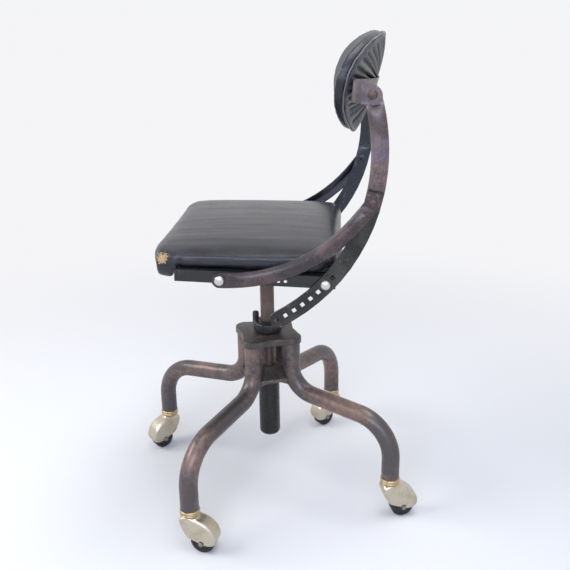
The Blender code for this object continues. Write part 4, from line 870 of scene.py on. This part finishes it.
# held behind the front seam
def backHeld(place):
    tilt = padLook["tilt"]
    ahead = -(place.y - padLook["centreY"]) * math.cos(tilt) + (place.z - padLook["centreZ"]) * math.sin(tilt)
    bend = padLook["bend"] * (place.x / padLook["halfWidth"]) ** 2
    return ahead - bend < padLook["frontSeam"] + backLook["heldPast"]

backMesh = puffed("back_cushion", backLook, backHeld)
backCushion = addPiece("back_cushion_cover", backMesh, leathers["backLeather"], "back", ("back_cushion",),
                       0)

def weltMesh(look):
    curve = bpy.data.curves.new("welt", "CURVE")
    curve.dimensions = "3D"
    curve.bevel_depth = look["radius"]
    curve.bevel_resolution = 4
    spline = curve.splines.new("POLY")
    spline.points.add(look["points"] - 1)
    for index, point in enumerate(spline.points):
        angle = 2 * math.pi * index / look["points"]
        wander = sum(height * math.sin(count * angle) for height, count in look["waves"])
        point.co = (*ovalPoint(angle, look["share"], look["out"] + wander), 1)
    spline.use_cyclic_u = True
    return finishedMesh(helperObject(curve))

weltLook = {"radius": 0.0015, "share": 0.998, "out": -0.0086, "points": 160,
            "waves": ((0.0004, 9), (0.0003, 23))}
welt = addPiece("back_welt_rear", weltMesh(weltLook), leathers["weltLeather"], "back", (), 0)

coverLook = {"front": -0.0086, "rim": 0.0022, "edge": 0.0030, "depth": 0.0118, "dome": 3.2, "least": 0.0006,
             "pleats": 42, "pleatDepth": 0.0058, "hollow": 0.0028, "segments": 336, "opening": 0.93,
             "shares": (0.985, 0.965, 0.935, 0.90, 0.85, 0.79, 0.72, 0.64, 0.56, 0.48, 0.40, 0.32, 0.24, 0.16, 0.08),
             "creamFrom": 0.62, "seed": 11}

# rings drawn in from the rim to the strap; the pleats are their radial waves
def coverMesh(look):
    rng = random.Random(look["seed"])
    depths = [rng.uniform(0.45, 1.0) for _ in range(look["pleats"])]
    creams = [rng.random() for _ in range(look["pleats"])]
    offsets = [rng.uniform(-0.2, 0.2) for _ in range(look["pleats"])]
    bm = bmesh.new()
    bmesh.ops.create_circle(bm, cap_ends=True, segments=look["segments"], radius=look["opening"])
    ring = list(bm.edges)
    for share in (1.0, *look["shares"]):
        ring = extrudeRing(bm, ring, (0, 0, 0))
        for vertex in {v for edge in ring for v in edge.verts}:
            vertex.co = Vector((vertex.co.x, vertex.co.y, 0)).normalized() * share
            vertex.co.z = 1
    closing = bmesh.ops.contextual_create(bm, geom=ring)["faces"]
    bmesh.ops.poke(bm, faces=closing)
    fold = bm.verts.layers.float.new("fold")
    cream = bm.verts.layers.float.new("cream")
    for vertex in bm.verts:
        flat = Vector((vertex.co.x, vertex.co.y))
        share = min(flat.length, 1.0)
        angle = math.atan2(flat.y, flat.x)
        if vertex.co.z < 0.5:
            vertex.co = ovalPoint(angle, share, look["front"])
            continue
        wander = angle + 0.05 * math.sin(5 * angle + 1) + 0.03 * math.sin(11 * angle)
        wander += 0.05 * (1 - share) * math.sin(3 * angle)
        position = wander / (2 * math.pi) * look["pleats"]
        number = int(math.floor(position)) % look["pleats"]
        t = position - math.floor(position)
        t = min(max(t + offsets[number] * math.sin(math.pi * t) ** 2, 0.0), 1.0)
        valley = 1 - math.sin(math.pi * t) ** 0.8
        reach = smoothStep(0.10, 0.45, share) * (1 - smoothStep(0.88, 0.985, share))
        hollow = look["hollow"] * abs(math.cos(angle)) ** 3 * smoothStep(0.35, 0.6, share)
        hollow *= 1 - smoothStep(0.85, 0.98, share)
        rear = look["edge"] + (look["depth"] - look["edge"]) * (1 - share ** look["dome"])
        atRim = smoothStep(0.975, 1.0, share)
        rear = rear * (1 - atRim) + look["rim"] * atRim
        inward = valley * look["pleatDepth"] * depths[number] * reach + hollow
        vertex[fold] = min(valley * reach * (0.5 + 0.6 * depths[number]), 1.0)
        vertex[cream] = (creams[number] > look["creamFrom"]) * (1 - abs(2 * t - 1)) ** 3 * reach * 0.8
        vertex.co = ovalPoint(angle, share, look["front"] - max(rear - inward, look["least"]))
    bmesh.ops.recalc_face_normals(bm, faces=bm.faces)
    return toMesh(bm, "cover")

cover = addPiece("back_cover_pleats", coverMesh(coverLook), leathers["pleatedCloth"], "back", ("back_cover",),
                 0)
crispCopy("back_pan", metals["strapSteel"], 0.0003)
print("back made")


# Floor, world and lights
stageLook = {"floorColour": (0.80, 0.80, 0.815), "floorSize": 14, "floorRoughness": 0.85, "floorSpecular": 0.2,
             "background": (0.91, 0.91, 0.935), "ambient": 0.60, "fade": (0.45, 1.7),
             "behind": (0.34, 0.35, 0.37), "backdropSide": (0.95, 0.97, 1.06), "zenith": (0.80, 0.82, 0.86)}

# 1 for the rays that see the backdrop: the camera's, and those that metal and leather mirror
def seenRays(tree):
    path = addNode(tree, "ShaderNodeLightPath")
    seen = mathNode(tree, "MAXIMUM", path.outputs["Is Camera Ray"], path.outputs["Is Glossy Ray"])
    return mathNode(tree, "MAXIMUM", seen, path.outputs["Is Transmission Ray"])

def makeStage(look):
    bm = bmesh.new()
    bmesh.ops.create_grid(bm, x_segments=2, y_segments=2, size=look["floorSize"])
    mesh = toMesh(bm, "floor")
    floor = bpy.data.objects.new("floor", mesh)
    scene.collection.objects.link(floor)
    material, tree, shader = newMaterial("floorPaint")
    shader.inputs["Base Color"].default_value = (*look["floorColour"], 1)
    shader.inputs["Roughness"].default_value = look["floorRoughness"]
    shader.inputs["Specular IOR Level"].default_value = look["floorSpecular"]
    # away from the chair the backdrop's own colour takes the place of the lit floor
    distance = addNode(tree, "ShaderNodeVectorMath", operation="LENGTH")
    tree.links.new(objectPlace(tree), distance.inputs[0])
    away = rampNode(tree, distance.outputs["Value"], *look["fade"])
    plain = addNode(tree, "ShaderNodeEmission", {"Color": (*look["background"], 1)})
    mix = addNode(tree, "ShaderNodeMixShader")
    tree.links.new(times(tree, away, seenRays(tree)), mix.inputs[0])
    tree.links.new(shader.outputs[0], mix.inputs[1])
    tree.links.new(plain.outputs[0], mix.inputs[2])
    tree.links.new(mix.outputs[0], tree.nodes["Material Output"].inputs["Surface"])
    mesh.materials.append(material)
    world = bpy.data.worlds.new("studio")
    world.use_nodes = True
    scene.world = world
    tree = world.node_tree
    tree.nodes.clear()
    output = addNode(tree, "ShaderNodeOutputWorld")
    seen = addNode(tree, "ShaderNodeBackground", {"Color": (*look["background"], 1), "Strength": 1.0})
    ambient = addNode(tree, "ShaderNodeBackground", {"Strength": look["ambient"]})
    direction = splitAxes(tree, addNode(tree, "ShaderNodeTexCoord").outputs["Generated"])
    # paler towards the backdrop side and the zenith, greyer behind the camera
    sidewise = rampNode(tree, direction["X"], 0.9, -0.9)
    upward = rampNode(tree, direction["Z"], -0.1, 0.9)
    tone = mixColours(tree, sidewise, look["behind"], look["backdropSide"])
    tone = mixColours(tree, upward, tone, look["zenith"])
    tree.links.new(tone, ambient.inputs["Color"])
    mix = addNode(tree, "ShaderNodeMixShader")
    tree.links.new(seenRays(tree), mix.inputs[0])
    tree.links.new(ambient.outputs[0], mix.inputs[1])
    tree.links.new(seen.outputs[0], mix.inputs[2])
    tree.links.new(mix.outputs[0], output.inputs["Surface"])

lightLooks = {
    "windowLight": {"place": (0.4, -2.2, 2.0), "aim": (0, 0, 0.45), "size": 1.8, "power": 39,
                    "colour": (1.0, 0.99, 0.97)},
    "overheadLight": {"place": (0.3, 0.6, 2.9), "aim": (0, 0, 0.4), "size": 2.2, "power": 34,
                      "colour": (0.97, 0.98, 1.0)},
    "skyLight": {"place": (3.0, 0.1, 1.75), "aim": (0, 0, 0.45), "size": 2.6, "power": 56,
                 "colour": (0.64, 0.74, 1.0)},
}

flatness = 0.45     # each light's depth over its width

def makeLight(name, look):
    data = bpy.data.lights.new(name, "AREA")
    data.shape = "RECTANGLE"
    data.size = look["size"]
    data.size_y = look["size"] * flatness
    data.energy = look["power"]
    data.color = look["colour"]
    lamp = bpy.data.objects.new(name, data)
    scene.collection.objects.link(lamp)
    lamp.location = look["place"]
    lamp.rotation_euler = (Vector(look["aim"]) - Vector(look["place"])).to_track_quat("-Z", "Y").to_euler()

makeStage(stageLook)
for name, look in lightLooks.items():
    makeLight(name, look)
print("stage made")
